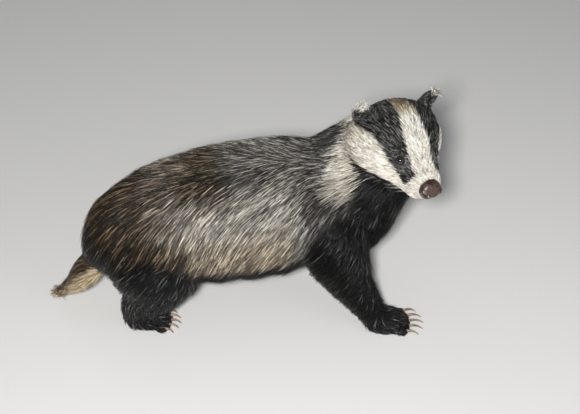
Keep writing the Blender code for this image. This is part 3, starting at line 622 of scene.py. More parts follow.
eye_wet = new_material("eye_wet")
from_pupil = add_node(eye_wet, "Attribute", {}, attribute_name="from_pupil").outputs["Fac"]
rings = add_node(eye_wet, "ValToRGB", {"Fac": from_pupil})
ramp = rings.color_ramp
ramp.elements[0].position, ramp.elements[0].color = (PUPIL_DEG - 2.7) / 90, PUPIL_TONE
ramp.elements[1].position, ramp.elements[1].color = 1.0, BACK_TONE
for angle, colour in RING_TONES:
    ramp.elements.new(angle / 90).color = colour
shade(eye_wet, {"Base Color": rings.outputs["Color"], "Roughness": 0.12, "Coat Weight": 1.0,
                "Coat Roughness": 0.03})
for side, name in ((-1, "right"), (1, "left")):
    middle, facing = eye_place(side)
    deselect()
    bpy.ops.mesh.primitive_uv_sphere_add(segments=48, ring_count=32, radius=EYE_RADIUS,
                                         location=Vector(middle),
                                         rotation=Vector(facing).to_track_quat("Z", "Y").to_euler())
    ball = finish_shape(bpy.context.active_object, "eyeball_" + name)
    out = (coordinates(ball.data) - middle) @ facing / EYE_RADIUS
    layer = ball.data.attributes.new("from_pupil", "FLOAT", "POINT")
    angle = np.degrees(np.arccos(np.clip(out, -1, 1)))
    layer.data.foreach_set("value", (angle / 90).clip(0, 1).astype(np.float32))
    ball.data.materials.append(eye_wet)
    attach(ball, "root")
    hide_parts("eye_" + name)

# The lids. A rim of bare dark skin round each eye, pointed at its two corners, thick and rounded where
# it meets the ball and running out under the hair.
LID_OPEN_HALF, LID_UPPER, LID_LOWER = 0.0055, 0.0043, 0.0037
LID_REACH, LID_THICK, LID_CORNER = 0.0102, 0.0008, 1.6
LID_FOLD, LID_SUNK = 0.0005, 0.0007
LID_SLANT_DEG = -14.0
RING_HALF = 0.5
RAY_START = 0.03


def wandering(material, low, high, scale):
    """A colour that wanders between two tones, and the noise that it follows."""
    noise = {"Scale": scale, "Detail": 4.0, "Vector": own_place(material)}
    noise = add_node(material, "TexNoise", noise).outputs["Fac"]
    blend = add_node(material, "ValToRGB", {"Fac": noise})
    low_end, high_end = blend.color_ramp.elements
    low_end.position, high_end.position = 0.35, 0.65
    low_end.color, high_end.color = (*low, 1), (*high, 1)
    return blend.outputs["Color"], noise


def bare_material(name, low, high, scale, roughness, bump):
    """Bare skin or horn: a wandering colour, with a grain of the same noise."""
    material = new_material(name)
    colour, noise = wandering(material, low, high, scale)
    relief = add_node(material, "Bump", {"Strength": bump, "Distance": 0.0004, "Height": noise})
    shade(material, {"Base Color": colour, "Normal": relief.outputs["Normal"], "Roughness": roughness})
    return material


lid_skin = bare_material("lid_skin", tone(9, 8, 8), tone(52, 49, 48), 700.0, 0.40, 0.5)
for side, name in ((-1, "right"), (1, "left")):
    middle, facing = eye_place(side)
    ahead = head_axes @ np.array((1.0, 0.0, 0.0))
    ahead = ahead - facing * (ahead @ facing)
    ahead /= np.linalg.norm(ahead)
    upper = np.cross(facing, ahead) * side
    upper *= np.sign(upper @ (head_axes @ np.array((0, 0, 1.0))))
    slant = math.radians(LID_SLANT_DEG)
    ahead, upper = (ahead * math.cos(slant) + upper * math.sin(slant),
                    upper * math.cos(slant) - ahead * math.sin(slant))
    deselect()
    bpy.ops.mesh.primitive_torus_add(major_segments=72, minor_segments=20, major_radius=1.0,
                                     minor_radius=RING_HALF)
    lid = finish_shape(bpy.context.active_object, "lids_" + name)
    ring = coordinates(lid.data)
    turn = np.arctan2(ring[:, 1], ring[:, 0])
    share = ((np.hypot(ring[:, 0], ring[:, 1]) - 1.0) / RING_HALF + 1) / 2
    on_top = np.sin(turn) > 0
    tall = np.where(on_top, LID_UPPER, LID_LOWER)
    opening = (np.abs(np.cos(turn) / LID_OPEN_HALF) ** LID_CORNER
               + np.abs(np.sin(turn) / tall) ** LID_CORNER) ** (-1 / LID_CORNER)
    radius = opening + share ** 1.3 * (LID_REACH - opening)
    along = ahead[None] * (np.cos(turn) * radius)[:, None] + upper[None] * (np.sin(turn) * radius)[:, None]
    on_ball = np.sqrt(np.clip((EYE_RADIUS + 0.0001) ** 2 - radius ** 2, 0, None))

    # The outer edge keeps to the skin at the lid's reach, whatever hollow lies inside it
    edge_of = {}
    for angle, offset, part in zip(np.round(turn, 4), along, share):
        if part > 0.999:
            start = Vector(middle + offset + facing * RAY_START)
            hit = skin_surface.ray_cast(start, Vector(-facing), 2 * RAY_START)[0]
            edge_of[angle] = (np.array(hit) - middle) @ facing if hit is not None else 0.0
    edge = np.array([edge_of[min(edge_of, key=lambda a: abs(a - angle))] for angle in turn])
    outer = rise(share, 0.0, 0.75)
    fold = LID_FOLD * np.sin(np.clip(share * 1.6, 0, 1) * math.pi) * np.where(on_top, 1.5, 0.8)
    height = on_ball * (1 - outer) + (edge - LID_SUNK) * outer + fold
    height += ring[:, 2] / RING_HALF * LID_THICK * (1 - 0.6 * share)
    move_points(lid.data, middle + along + facing * height[:, None])
    lid.data.materials.append(lid_skin)
    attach(lid, "root")

# The nose. A broad bare pad of pebbled brown skin at the tip of the muzzle, with two comma-shaped
# nostrils that curl out to its sides and a groove down its middle.
NOSE_MIDDLE, NOSE_HALF = (0.0838, 0.0, -0.0008), (0.0098, 0.0158, 0.0142)
NOSE_FLATNESS, NOSE_UNDER, NOSE_SQUARENESS = 0.68, 0.80, 2.5
# How much the pad narrows and how far it falls back, towards its top and towards its lower edge
NARROWER_ABOVE, NARROWER_BELOW = 0.10, 0.22
BACK_ABOVE, BACK_BELOW = 0.0034, 0.0016
NOSTRIL_PLACE, NOSTRIL_SIZE, NOSTRIL_DEPTH = (0.0068, -0.0020), (0.0040, 0.0034), 0.0068
SLIT_PLACE, SLIT_SIZE, SLIT_DEPTH = (0.0122, 0.0004), (0.0044, 0.0016), 0.0036
NOSTRIL_LEAN, SLIT_LEAN, NOSTRIL_RIM = 0.3, 0.45, 0.0011
GROOVE_HALF, GROOVE_DEPTH = 0.0009, 0.0014
deselect()
bpy.ops.mesh.primitive_uv_sphere_add(segments=144, ring_count=96, radius=1.0, rotation=(0, math.pi / 2, 0))
nose = finish_shape(bpy.context.active_object, "nose_pad")
ball = coordinates(nose.data)
square = np.sum(np.abs(ball[:, 1:]) ** NOSE_SQUARENESS, axis=1) ** (1 / NOSE_SQUARENESS)
even = np.linalg.norm(ball[:, 1:], axis=1)
ball[:, 1:] *= (even / np.maximum(square, 1e-6))[:, None] ** 0.8
above, below = np.clip(ball[:, 2], 0, 1), np.clip(-ball[:, 2], 0, 1)
wide = 1 - NARROWER_BELOW * below ** 1.5 - NARROWER_ABOVE * above ** 2
under = np.where(ball[:, 2] < 0, NOSE_UNDER, 1)
shape = ball * np.array(NOSE_HALF) * np.stack((np.ones(len(ball)), wide, under), 1)
shape[:, 0] = np.sign(ball[:, 0]) * np.abs(ball[:, 0]) ** NOSE_FLATNESS * NOSE_HALF[0]
shape[:, 0] -= BACK_ABOVE * above ** 2 + BACK_BELOW * below ** 2
front = rise(ball[:, 0], 0.0, 0.4)
sunk = np.zeros(len(shape))
NOSTRILS = ((NOSTRIL_PLACE, NOSTRIL_SIZE, NOSTRIL_DEPTH, NOSTRIL_LEAN),
            (SLIT_PLACE, SLIT_SIZE, SLIT_DEPTH, SLIT_LEAN))
for (place_y, place_z), (half_y, half_z), deep, lean in NOSTRILS:
    dy, dz = np.abs(shape[:, 1]) - place_y, shape[:, 2] - place_z
    dy, dz = dy * math.cos(lean) + dz * math.sin(lean), dz * math.cos(lean) - dy * math.sin(lean)
    gap = np.hypot(dy / half_y, dz / half_z)
    sunk += deep * np.exp(-gap ** 4 * 0.7) * front
    sunk -= NOSTRIL_RIM * np.exp(-(gap - 1.6) ** 2 * 3) * front
in_groove = np.exp(-(shape[:, 1] / GROOVE_HALF) ** 2) * (0.35 + 0.65 * rise(-shape[:, 2], -0.002, 0.002))
sunk += GROOVE_DEPTH * in_groove * front
way = unit(np.stack((ball[:, 0] + 0.4, ball[:, 1] * 0.8, ball[:, 2] * 0.6), 1))
shape -= way * sunk[:, None]
move_points(nose.data, head_middle + (shape + np.array(NOSE_MIDDLE)) @ head_axes.T)
# The pad is darkened by the depth of its nostrils and groove: painted shade in its pits
painted_pit_shade = nose.data.attributes.new("painted_pit_shade", "FLOAT", "POINT")
painted_pit_shade.data.foreach_set("value", (sunk / NOSTRIL_DEPTH * 1.3).clip(0, 1).astype(np.float32))
nose_skin = new_material("nose_skin")
pad_colour, _ = wandering(nose_skin, tone(42, 29, 24), tone(88, 67, 58), 110.0)
pit_shade_share = add_node(nose_skin, "Attribute", {}, attribute_name="painted_pit_shade").outputs["Fac"]
# The colours of a mix are its inputs 6 and 7, and its result is output 2
mix = {"Factor": pit_shade_share, 6: pad_colour, 7: (*tone(10, 6, 6), 1)}
darker = add_node(nose_skin, "Mix", mix, data_type="RGBA")
pebbles = add_node(nose_skin, "TexVoronoi", {"Scale": 950.0, "Vector": own_place(nose_skin)})
grain = {"Strength": 0.55, "Distance": 0.0004, "Height": pebbles.outputs["Distance"]}
grain = add_node(nose_skin, "Bump", grain, invert=True)
shade(nose_skin, {"Base Color": darker.outputs[2], "Normal": grain.outputs["Normal"], "Roughness": 0.34,
                  "Coat Weight": 0.35, "Coat Roughness": 0.25})
nose.data.materials.append(nose_skin)
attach(nose, "root")
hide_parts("nose")

# The lips. Two narrow rolls of dark bare skin that meet in the line of the mouth, from under the nose
# back to the corner below the eye.
MOUTH_FRONT, MOUTH_BACK, MOUTH_STEPS = 0.0800, 0.0340, 16
MOUTH_ANGLE_DEG, MOUTH_DROP_DEG, MOUTH_CORNER_DEG = -40.0, 50.0, 6.0
MOUTH_BELOW_CENTRE = 0.003
LIP_RADIUS, LIP_APART, LIP_SUNK = 0.0011, 0.0009, 0.0004


def mouth_curve(side):
    """Points on the skin along the line of the mouth on one side, with the skin's normals."""
    found = []
    for k in range(MOUTH_STEPS):
        t = k / (MOUTH_STEPS - 1)
        angle = math.radians(MOUTH_ANGLE_DEG - MOUTH_DROP_DEG * (1 - t) ** 3 + MOUTH_CORNER_DEG * t)
        forward = MOUTH_FRONT + (MOUTH_BACK - MOUTH_FRONT) * t ** 1.2
        start = Vector(from_head((forward, 0, -MOUTH_BELOW_CENTRE)))
        way = Vector(head_axes @ np.array((0, side * math.cos(angle), math.sin(angle))))
        spot, normal, _, _ = skin_surface.ray_cast(start, way, 0.2)
        found.append((np.array(spot), np.array(normal)))
    return found


mouth = mouth_curve(-1)[::-1] + mouth_curve(1)[1:]
mouth_places = np.array([spot for spot, _ in mouth])
mouth_normals = np.array([normal for _, normal in mouth])
head_up = head_axes @ np.array((0, 0, 1.0))
lip_skin = bare_material("lip_skin", tone(24, 18, 17), tone(66, 50, 46), 500.0, 0.38, 0.4)
upward = unit(np.cross(unit(np.gradient(mouth_places, axis=0)), mouth_normals))
upward *= np.sign(upward @ head_up)[:, None]
# Where the line of the mouth itself runs up or down, the lips part along the head's own up
over = unit(head_up - mouth_normals * (mouth_normals @ head_up)[:, None])
upward = np.where(np.abs(upward @ head_up)[:, None] > 0.15, upward, over)
path = bpy.data.curves.new("lips", "CURVE")
path.dimensions, path.bevel_depth, path.bevel_resolution, path.use_fill_caps = "3D", LIP_RADIUS, 4, True
path.resolution_u = 4
last = len(mouth_places) - 1
for sign in (1, -1):
    line = path.splines.new("NURBS")
    line.points.add(last)
    line.use_endpoint_u, line.order_u = True, 4
    for k, (spot, up, normal) in enumerate(zip(mouth_places, upward, mouth_normals)):
        taper = min(1.0, 0.35 + 0.30 * min(k, last - k))
        centre = spot + up * sign * LIP_APART * taper - normal * LIP_SUNK
        line.points[k].co = (*centre, 1.0)
        line.points[k].radius = taper
rolls = bpy.data.objects.new("lips", path)
bpy.context.scene.collection.objects.link(rolls)
make_active(rolls)
bpy.ops.object.convert(target="MESH")
lips = finish_shape(bpy.context.active_object, "lips")
lips.data.materials.append(lip_skin)
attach(lips, "root")


def from_lips(places):
    """Distance of each place from the line of the mouth."""
    gap = np.full(len(places), 1.0)
    for start, end in zip(mouth_places[:-1], mouth_places[1:]):
        gap = np.minimum(gap, capsule(places, start, end))
    return gap


# The claws. Long, blunt, slightly curved horn, one at the tip of each toe. They are the solids' claws,
# joined for each paw and rounded.
claw_horn = bare_material("claw_horn", tone(104, 84, 70), tone(168, 146, 124), 260.0, 0.40, 0.3)
for paw in LIMBS:
    names = ["claw_%s_%d" % (paw, number) for number in range(1, 6)]
    work = merged_copy(*names)
    mesh = bpy.data.meshes.new("claws_" + paw)
    work.to_mesh(mesh)
    work.free()
    claws = bpy.data.objects.new("claws_" + paw, mesh)
    bpy.context.scene.collection.objects.link(claws)
    make_active(claws)
    rounder = claws.modifiers.new("rounder", "SUBSURF")
    rounder.levels = 2
    bpy.ops.object.modifier_apply(modifier=rounder.name)
    mesh.shade_smooth()
    mesh.materials.append(claw_horn)
    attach(claws, "root")
    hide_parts(*names)

# The coat. Tufts of hair rooted in the skin, flat and tapered, each following the lie over the form
# below it and drawn together into locks towards their tips. Its roots are spread over the fine skin
# from before the decimation, and each takes its patch of the unwrap from the hide that is shown.
TUFT_UV = 0.003
shown_corners, shown_surface = triangles(skin.data)
shown_loops = read(skin.data.loop_triangles, "loops", 3, np.int32)
shown_uv = read(skin.data.uv_layers["OFBake"].uv, "vector", 2)[shown_loops]
shown_points = coordinates(skin.data)
face_area = np.linalg.norm(np.cross(points[corners[:, 1]] - points[corners[:, 0]],
                                    points[corners[:, 2]] - points[corners[:, 0]]), axis=1) / 2


def unwrap_at(places):
    """The place on the skin's unwrap that lies nearest each place."""
    spots, faces = zip(*((hit[0], hit[2]) for hit in (shown_surface.find_nearest(place) for place in places)))
    spots, faces = np.array(spots), np.array(faces)
    a, b, c = (shown_points[shown_corners[faces, k]] for k in range(3))
    whole = np.maximum(np.linalg.norm(np.cross(b - a, c - a), axis=1), 1e-12)
    share_b = np.linalg.norm(np.cross(spots - a, c - a), axis=1) / whole
    share_c = np.linalg.norm(np.cross(b - a, spots - a), axis=1) / whole
    mix = np.clip(np.stack((1 - share_b - share_c, share_b, share_c), 1), 0, 1)
    return (shown_uv[faces] * mix[:, :, None]).sum(1)


def plant(spacing, share, draw):
    """Roots spread over the skin: a root for each square of the spacing where the share is one."""
    amount = np.cumsum(face_area * share[corners].mean(1))
    count = int(amount[-1] / spacing ** 2)
    marks = (np.arange(count) + draw.random(count)) / count * amount[-1]
    faces = np.minimum(np.searchsorted(amount, marks), len(corners) - 1)
    a, b = draw.random(count), draw.random(count)
    a, b = np.where(a + b > 1, 1 - a, a), np.where(a + b > 1, 1 - b, b)
    mix = np.stack((1 - a - b, a, b), 1)
    ids = corners[faces]
    root = (points[ids] * mix[:, :, None]).sum(1)
    return {"ids": ids, "mix": mix, "root": root, "uv": unwrap_at(root)}


def at_roots(roots, values):
    """Values of the skin's points, read at each root; a plain number holds for all of them."""
    if np.ndim(values) == 0:
        values = np.full(len(points), values)
    mix = roots["mix"] if values.ndim == 1 else roots["mix"][:, :, None]
    return (values[roots["ids"]] * mix).sum(1)


# Hair is led over the skin in short paces and kept off the floor
LONGEST_PACE, FLOOR_GAP = 0.009, 0.0012
# How much a lock's own tone moves its hairs' chance of being pale, and their colour
LOCK_CHANCE, LOCK_TONE = 0.34, 0.20
# The least and the most of each measure of a tuft, as shares of the shape's own
LENGTH_SPREAD, HEIGHT_SPREAD, WIDTH_SPREAD, PULL_SPREAD = (0.78, 1.15), (0.55, 1.10), (0.7, 1.3), (0.5, 1.2)


def walk(start, heading, length, shares, free):
    """Points from each root along the lie, with the skin's normal and the heading there.

    Hair that isn't free follows the skin; free hair keeps its own way past a rim or a tip.
    """
    place, heading = start, heading.copy()
    steps = []
    done = 0.0
    for share in shares:
        paces = max(1, math.ceil(length.mean() * (share - done) / LONGEST_PACE))
        for _ in range(paces):
            place = place + heading * (length * (share - done) / paces)[:, None]
            near = nearest(place)
            normal = normals[near]
            above = ((place - points[near]) * normal).sum(1, keepdims=True)
            place = place - normal * np.where(above > 0, above * (1 - free), above)
            follow = 0.4 * (1 - 0.8 * free)
            along = flatten(heading * (1 - follow) + lie[near] * follow, normal)
            heading = unit(along * (1 - free) + heading * free)
        done = share
        steps.append((place, normals[near], heading))
    return steps


def tuft_mesh(name, lines, side, up, half, thick, colours, uv, material):
    """A closed, tapering tuft for each line of points, with its colours and its patch of the unwrap."""
    rings = len(lines) - 1
    count = len(lines[0])
    per = rings * 3 + 1
    verts = np.empty((count, per, 3), np.float32)
    tints = np.empty((count, per, 3), np.float32)
    patch = np.empty((count, per, 2), np.float32)
    for k in range(rings):
        for j, (across, above) in enumerate(((1, 0), (0, 1), (-1, 0))):
            corner = lines[k] + side[k] * (half[k] * across)[:, None] + up[k] * (thick[k] * above)[:, None]
            verts[:, k * 3 + j] = corner
            tints[:, k * 3 + j] = colours[k]
            patch[:, k * 3 + j] = uv + np.array((across * 0.4, k / rings - 0.5)) * TUFT_UV
    verts[:, -1] = lines[-1]
    tints[:, -1] = colours[-1]
    patch[:, -1] = uv + np.array((0.0, 0.5)) * TUFT_UV
    faces = [(0, 2, 1)]
    for k in range(rings - 1):
        for j in range(3):
            a, b = k * 3 + j, k * 3 + (j + 1) % 3
            faces += [(a, b, b + 3), (a, b + 3, a + 3)]
    last = (rings - 1) * 3
    faces += [(last + j, last + (j + 1) % 3, per - 1) for j in range(3)]
    faces = (np.arange(count)[:, None, None] * per + np.array(faces)[None]).reshape(-1, 3)
    mesh = bpy.data.meshes.new(name)
    mesh.vertices.add(count * per)
    mesh.vertices.foreach_set("co", verts.ravel())
    mesh.loops.add(len(faces) * 3)
    mesh.loops.foreach_set("vertex_index", faces.ravel().astype(np.int32))
    mesh.polygons.add(len(faces))
    mesh.polygons.foreach_set("loop_start", np.arange(0, len(faces) * 3, 3, dtype=np.int32))
    mesh.update(calc_edges=True)
    layer = mesh.uv_layers.new(name="OFBake")
    layer.uv.foreach_set("vector", patch.reshape(-1, 2)[faces.ravel()].ravel())
    store_colour(mesh, tints.reshape(-1, 3))
    mesh.shade_smooth()
    mesh.materials.append(material)
    obj = bpy.data.objects.new(name, mesh)
    bpy.context.scene.collection.objects.link(obj)
    return obj


hair = hair_material("hair", 0.36, 0.10, 0.0)


def hair_colours(shape, seen, lead, draw):
    """The colour of each tuft at each of its rings, read where it is seen and alike within a lock."""
    count = len(seen)
    near = nearest(seen)
    lock_tone = draw.normal(0, 1, count)[lead]
    jitter = draw.normal(0, shape["ragged"], (count, 3))
    dark, pale, share_pale = markings(seen + jitter, normals[near], weights[near])
    chance = np.clip(share_pale * (1 + LOCK_CHANCE * lock_tone * shape["streaks"]), 0.0, 0.99)
    light = (draw.random(count) < chance).astype(float)
    dim = draw.uniform(0.0, 0.35, count) * np.clip(share_pale * 1.6, 0, 1)
    strength = (draw.uniform(0.55, 1.0, count) * light + dim * (1 - light))[:, None]
    banded = (draw.random(count) < shape["banded"]) * light * 0.85
    main = dark * (1 - strength) + pale * strength
    main = main * (1 + LOCK_TONE * lock_tone * shape["streaks"])[:, None].clip(0.5, 1.5)
    colours = []
    # Each ring takes its shade: the low values at the root are painted shade between the hairs, and the tips
    # are a little brighter
    for k, ring_painted_shade in enumerate(shape["shade"]):
        darker = (banded * (k == shape["band"]))[:, None]
        colours.append((main * (1 - darker) + dark * darker) * ring_painted_shade)
    return colours


def grow(name, roots, shape, draw, slot):
    """One piece of the coat over the given roots, in the given shape."""
    count = len(roots["root"])
    shares = shape["shares"]
    length = at_roots(roots, shape["length"]) * draw.uniform(*LENGTH_SPREAD, count)
    height = at_roots(roots, shape["height"]) * draw.uniform(*HEIGHT_SPREAD, count)
    heading = at_roots(roots, lie)
    normal = unit(at_roots(roots, normals))
    turn = draw.normal(0, shape["stray"], count)[:, None]
    heading = flatten(heading + np.cross(normal, heading) * turn, normal)
    steps = walk(roots["root"], heading, length, shares, at_roots(roots, shape["free"])[:, None])
    droop = at_roots(roots, shape["droop"])[:, None] * np.array((0, 0, 1.0))
    lines = [place + up * (height * lift)[:, None] - droop * share ** 2
             for (place, up, _), lift, share in zip(steps, shape["lift"], shares)]
    if "wave" in shape:
        phase = draw.uniform(0, 6.28, count)
        reach = at_roots(roots, shape["wave"])
        for k, share in enumerate(shares):
            bend = reach * (np.sin(phase + 5.0 * share) - np.sin(phase)) * share
            lines[k] = lines[k] + np.cross(steps[k][2], steps[k][1]) * bend[:, None]

    # Locks: each tuft leans to the nearest leader, more so towards its tip
    leaders = np.arange(0, count, shape["lock_of"])
    lead = leaders[nearest(roots["root"], tree_of(roots["root"][leaders]))]
    pull = np.clip(shape["clump"] * draw.uniform(*PULL_SPREAD, count), 0, 0.95)
    for k, share in enumerate(shares):
        lines[k] = lines[k] + (lines[k][lead] - lines[k]) * (pull * share ** 1.4)[:, None]
        lines[k][:, 2] = np.maximum(lines[k][:, 2], FLOOR_GAP)

    colours = hair_colours(shape, steps[shape["seen"]][0], lead, draw)
    side = [np.cross(ahead, up) for _, up, ahead in steps]
    ups = [up for _, up, _ in steps]
    width = shape["width"] * draw.uniform(*WIDTH_SPREAD, count)
    half = [width * 0.5 * part for part in shape["breadth"]]
    thick = [width * shape["ridge"] * part for part in shape["breadth"]]
    piece = tuft_mesh(name, lines, side, ups, half, thick, colours, roots["uv"], hair)
    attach(piece, "root")


def pick(roots, keep):
    """Some of the roots."""
    return {key: value[keep] for key, value in roots.items()}


# The long coat of the trunk, neck and tail: grizzled guard hair over a denser coat, in loose locks.
# The hair of the rump stands off it and hangs over the root of the tail.
on_torso, on_neck, on_head, on_tail, on_fore, on_hind, on_paw, on_ears = weights.T
upper_leg = (on_fore + on_hind) * rise(body[:, 2], 0.095, 0.120)
long_coat = rise(on_torso + on_neck + on_tail + upper_leg, 0.35, 0.65)
tail_share = rise(on_tail, 0.3, 0.6)
neck_share = rise(on_neck, 0.3, 0.7)
rump_share = rise(-body[:, 0], 0.155, 0.215) * rise(normals[:, 2], -0.5, 0.0)
# For each ring of a tuft: its share of the length, its lift off the skin as a share of the height,
# its breadth as a share of the width, and its shade: a factor on its colour, low at the root as painted
# shade between the hairs. Band is the ring that is dark on banded hairs, and seen the step where the
# colour is read.
LONG_HAIR = {
    "shares": (0.0, 0.34, 0.70, 1.0),
    "lift": (-0.10, 0.55, 0.85, 1.0),
    "breadth": (0.8, 1.0, 0.75),
    "ridge": 0.30,
    "width": 0.0012,
    "shade": (0.25, 0.75, 1.0, 1.12),
    "band": 2,
    "banded": 0.5,
    "stray": 0.11,
    "lock_of": 6,
    "clump": 0.34,
    "ragged": 0.0045,
    "streaks": 1.0,
    "seen": 2,
    "free": 0.28 + 0.50 * rump_share,
    "wave": 0.0006 + 0.0012 * rise(body[:, 0], 0.00, 0.06),
    "length": 0.032 + 0.004 * neck_share + 0.010 * rump_share,
    "height": 0.0080 - 0.001 * neck_share,
    "droop": 0.008 * rise(-normals[:, 2], -0.1, 0.5) * (1 - rump_share) + 0.008 * rump_share,
}
LONG_GUARD = dict(LONG_HAIR, width=0.0010, stray=0.08, length=LONG_HAIR["length"] * 1.12,
                  height=LONG_HAIR["height"] * 1.22, lock_of=4, clump=0.42, shade=(0.35, 0.9, 1.05, 1.15),
                  banded=0.45)
draw = np.random.default_rng(20)
for layer, shape, spacing in (("coat", LONG_HAIR, 0.0028), ("guard", LONG_GUARD, 0.0037)):
    trunk_roots = plant(spacing, long_coat * (1 - tail_share), draw)
    place = trunk_roots["root"] - body_origin
    near_neck = at_roots(trunk_roots, neck_share) > 0.5
    right, trunk = place[:, 1] < 0, ~near_neck
    hind = place[:, 0] < np.median(place[trunk, 0])
    quarters = {"neck_right": near_neck & right, "neck_left": near_neck & ~right}
    for side, on_side in (("right", right), ("left", ~right)):
        quarters[side + "_hind"] = trunk & on_side & hind
        quarters[side + "_fore"] = trunk & on_side & ~hind
    for name, keep in quarters.items():
        grow(layer + "_" + name, pick(trunk_roots, keep), shape, draw, "coat_grey")
TAIL_HAIR = dict(LONG_HAIR, width=0.0010, stray=0.07, wave=0.0, length=0.027, banded=0.2, height=0.0100,
                 droop=0.0015, clump=0.24, free=0.6, streaks=0.8)
grow("coat_tail", plant(0.0015, tail_share, draw), TAIL_HAIR, draw, "coat_buff")

# The hair of the head. It is short and fine on the muzzle and round the eyes, longer over the crown, and
# long on the cheeks, where it stands out a little and covers the join of head and neck.
round_head = np.abs(np.degrees(np.arctan2(head[:, 1], head[:, 2])))
from_eye = np.minimum(*(np.linalg.norm(points - eye_place(side)[0], axis=1) for side in (-1, 1)))
cheek_share = rise(round_head, 60, 85) * rise(0.030 - head[:, 0], 0.0, 0.05)
muzzle_share = rise(head[:, 0], 0.030, 0.065)
near_eye = 1 - rise(from_eye, 0.009, 0.022)
clear_of_eye, clear_of_lips = rise(from_eye, 0.0082, 0.0100), rise(from_lips(points), 0.0010, 0.0018)
haired = rise(on_head, 0.30, 0.6) * clear_of_eye * clear_of_lips * (1 - rise(head[:, 0], 0.0785, 0.0815))
SHORT_HAIR = {
    "shares": (0.0, 0.5, 1.0),
    "breadth": (0.9, 1.0),
    "ridge": 0.35,
    "band": 1,
    "banded": 0.0,
    "droop": 0.0,
}
HEAD_HAIR = dict(SHORT_HAIR, lift=(-0.12, 0.72, 1.0), width=0.0009, shade=(0.45, 0.92, 1.04), stray=0.05,
                 lock_of=5, clump=0.25, ragged=0.0010, streaks=0.8, seen=1, free=0.28)
HEAD_HAIR["length"] = (0.0140 + 0.0190 * cheek_share - 0.0085 * muzzle_share) * (1 - 0.62 * near_eye)
HEAD_HAIR["height"] = (0.0026 + 0.0030 * cheek_share - 0.0012 * muzzle_share) * (1 - 0.70 * near_eye)
head_roots = plant(0.00118, haired, draw)
order = np.array_split(np.argsort((head_roots["root"] - head_middle) @ head_axes[:, 1]), 2)
for name, keep in zip(("coat_face_right", "coat_face_left"), order):
    grow(name, pick(head_roots, np.sort(keep)), HEAD_HAIR, draw, "coat_white")
HEAD_GUARD = dict(HEAD_HAIR, shares=(0.0, 0.33, 0.68, 1.0), lift=(-0.10, 0.7, 1.0, 1.1),
                  breadth=(0.9, 1.0, 0.7), width=0.0008, shade=(0.55, 0.95, 1.06, 1.12), stray=0.06,
                  clump=0.5, length=HEAD_HAIR["length"] * 1.2, height=HEAD_HAIR["height"] * 1.15 + 0.0004)
guard_roots = plant(0.0023, haired * (1 - 0.9 * near_eye), draw)
grow("guard_face", guard_roots, HEAD_GUARD, draw, "coat_white")

# The ears. Their hair is short and black and runs out from the root, with a longer white fringe round
# each rim that stands past it.
ear_share = rise(on_ears, 0.35, 0.6)
rim = on_rim(head)
near_rim = rise(rim, 0.80, 0.95)
EAR_HAIR = dict(SHORT_HAIR, lift=(-0.15, 0.8, 1.0), width=0.0008, shade=(0.6, 0.95, 1.08), stray=0.22,
                lock_of=8, clump=0.45, ragged=0.0006, streaks=0.6, seen=0, free=0.5,
                length=0.0070 + 0.0060 * near_rim, height=0.0016 + 0.0008 * near_rim)
ear_roots = plant(0.00085, ear_share, draw)
place = (ear_roots["root"] - head_middle) @ head_axes[:, 1]
grow("coat_ear_right", pick(ear_roots, place < 0), EAR_HAIR, draw, "coat_black")
grow("coat_ear_left", pick(ear_roots, place >= 0), EAR_HAIR, draw, "coat_black")
FRINGE = dict(EAR_HAIR, length=0.015, height=0.0020, stray=0.42, clump=0.6, width=0.0007, free=1.0)
grow("ear_fringes", plant(0.0011, ear_share * rise(rim, 0.86, 0.96), draw), FRINGE, draw, "coat_white")

# The whiskers. Stiff pale hairs in short rows on each side of the muzzle, rooted in the skin and swept
# back from the nose, each sagging a little.
WHISKERS_A_SIDE, WHISKER_ROWS = 9, 3
WHISKER_HALF, WHISKER_SAG = 0.00014, 0.10
WHISKER_FRONT, COLUMN_STEP, ROW_STEP_DEG = 0.073, 0.0048, 9.0
WHISKER_LENGTH, LONGER_A_COLUMN, LENGTH_EXTRA = 0.020, 0.005, 0.008
roots, ways, lengths = [], [], []
for side in (-1, 1):
    for k in range(WHISKERS_A_SIDE):
        row, column = k % WHISKER_ROWS, k // WHISKER_ROWS
        angle = math.radians(-4.0 - ROW_STEP_DEG * row + draw.normal(0, 1.5))
        forward = WHISKER_FRONT - COLUMN_STEP * column + draw.normal(0, 0.0006)
        start = Vector(from_head((forward, 0, -0.002)))
        way = Vector(head_axes @ np.array((0, side * math.cos(angle), math.sin(angle))))
        roots.append(np.array(skin_surface.ray_cast(start, way, 0.1)[0]))
        swept = np.array((-0.85, side * 0.75, -0.35 - 0.10 * row)) + draw.normal(0, 0.08, 3)
        ways.append(head_axes @ swept)
        lengths.append(WHISKER_LENGTH + LONGER_A_COLUMN * column + draw.uniform(0, LENGTH_EXTRA))
roots, ways, lengths = np.array(roots), unit(np.array(ways)), np.array(lengths)
count = len(roots)
whisker_up = flatten(np.tile((0.0, 0.0, 1.0), (count, 1)), ways)
whisker_side = np.cross(ways, whisker_up)
sag = np.array((0, 0, WHISKER_SAG)) * lengths[:, None]
lines = [roots + ways * (lengths * (t - 0.05))[:, None] - sag * t * t for t in (0.0, 0.35, 0.7, 1.0)]
half = [np.full(count, WHISKER_HALF * part) for part in (1.0, 0.8, 0.5)]
pale_hair = np.tile(COLOURS["white"][1], (count, 1))
# The whiskers are darkened to half at their roots: painted shade where they leave the coat
whiskers = tuft_mesh("whiskers", lines, [whisker_side] * 4, [whisker_up] * 4, half,
                     [part * 1.6 for part in half], [pale_hair * part for part in (0.5, 0.9, 1.0, 1.0)],
                     unwrap_at(roots), hair)
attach(whiskers, "root")

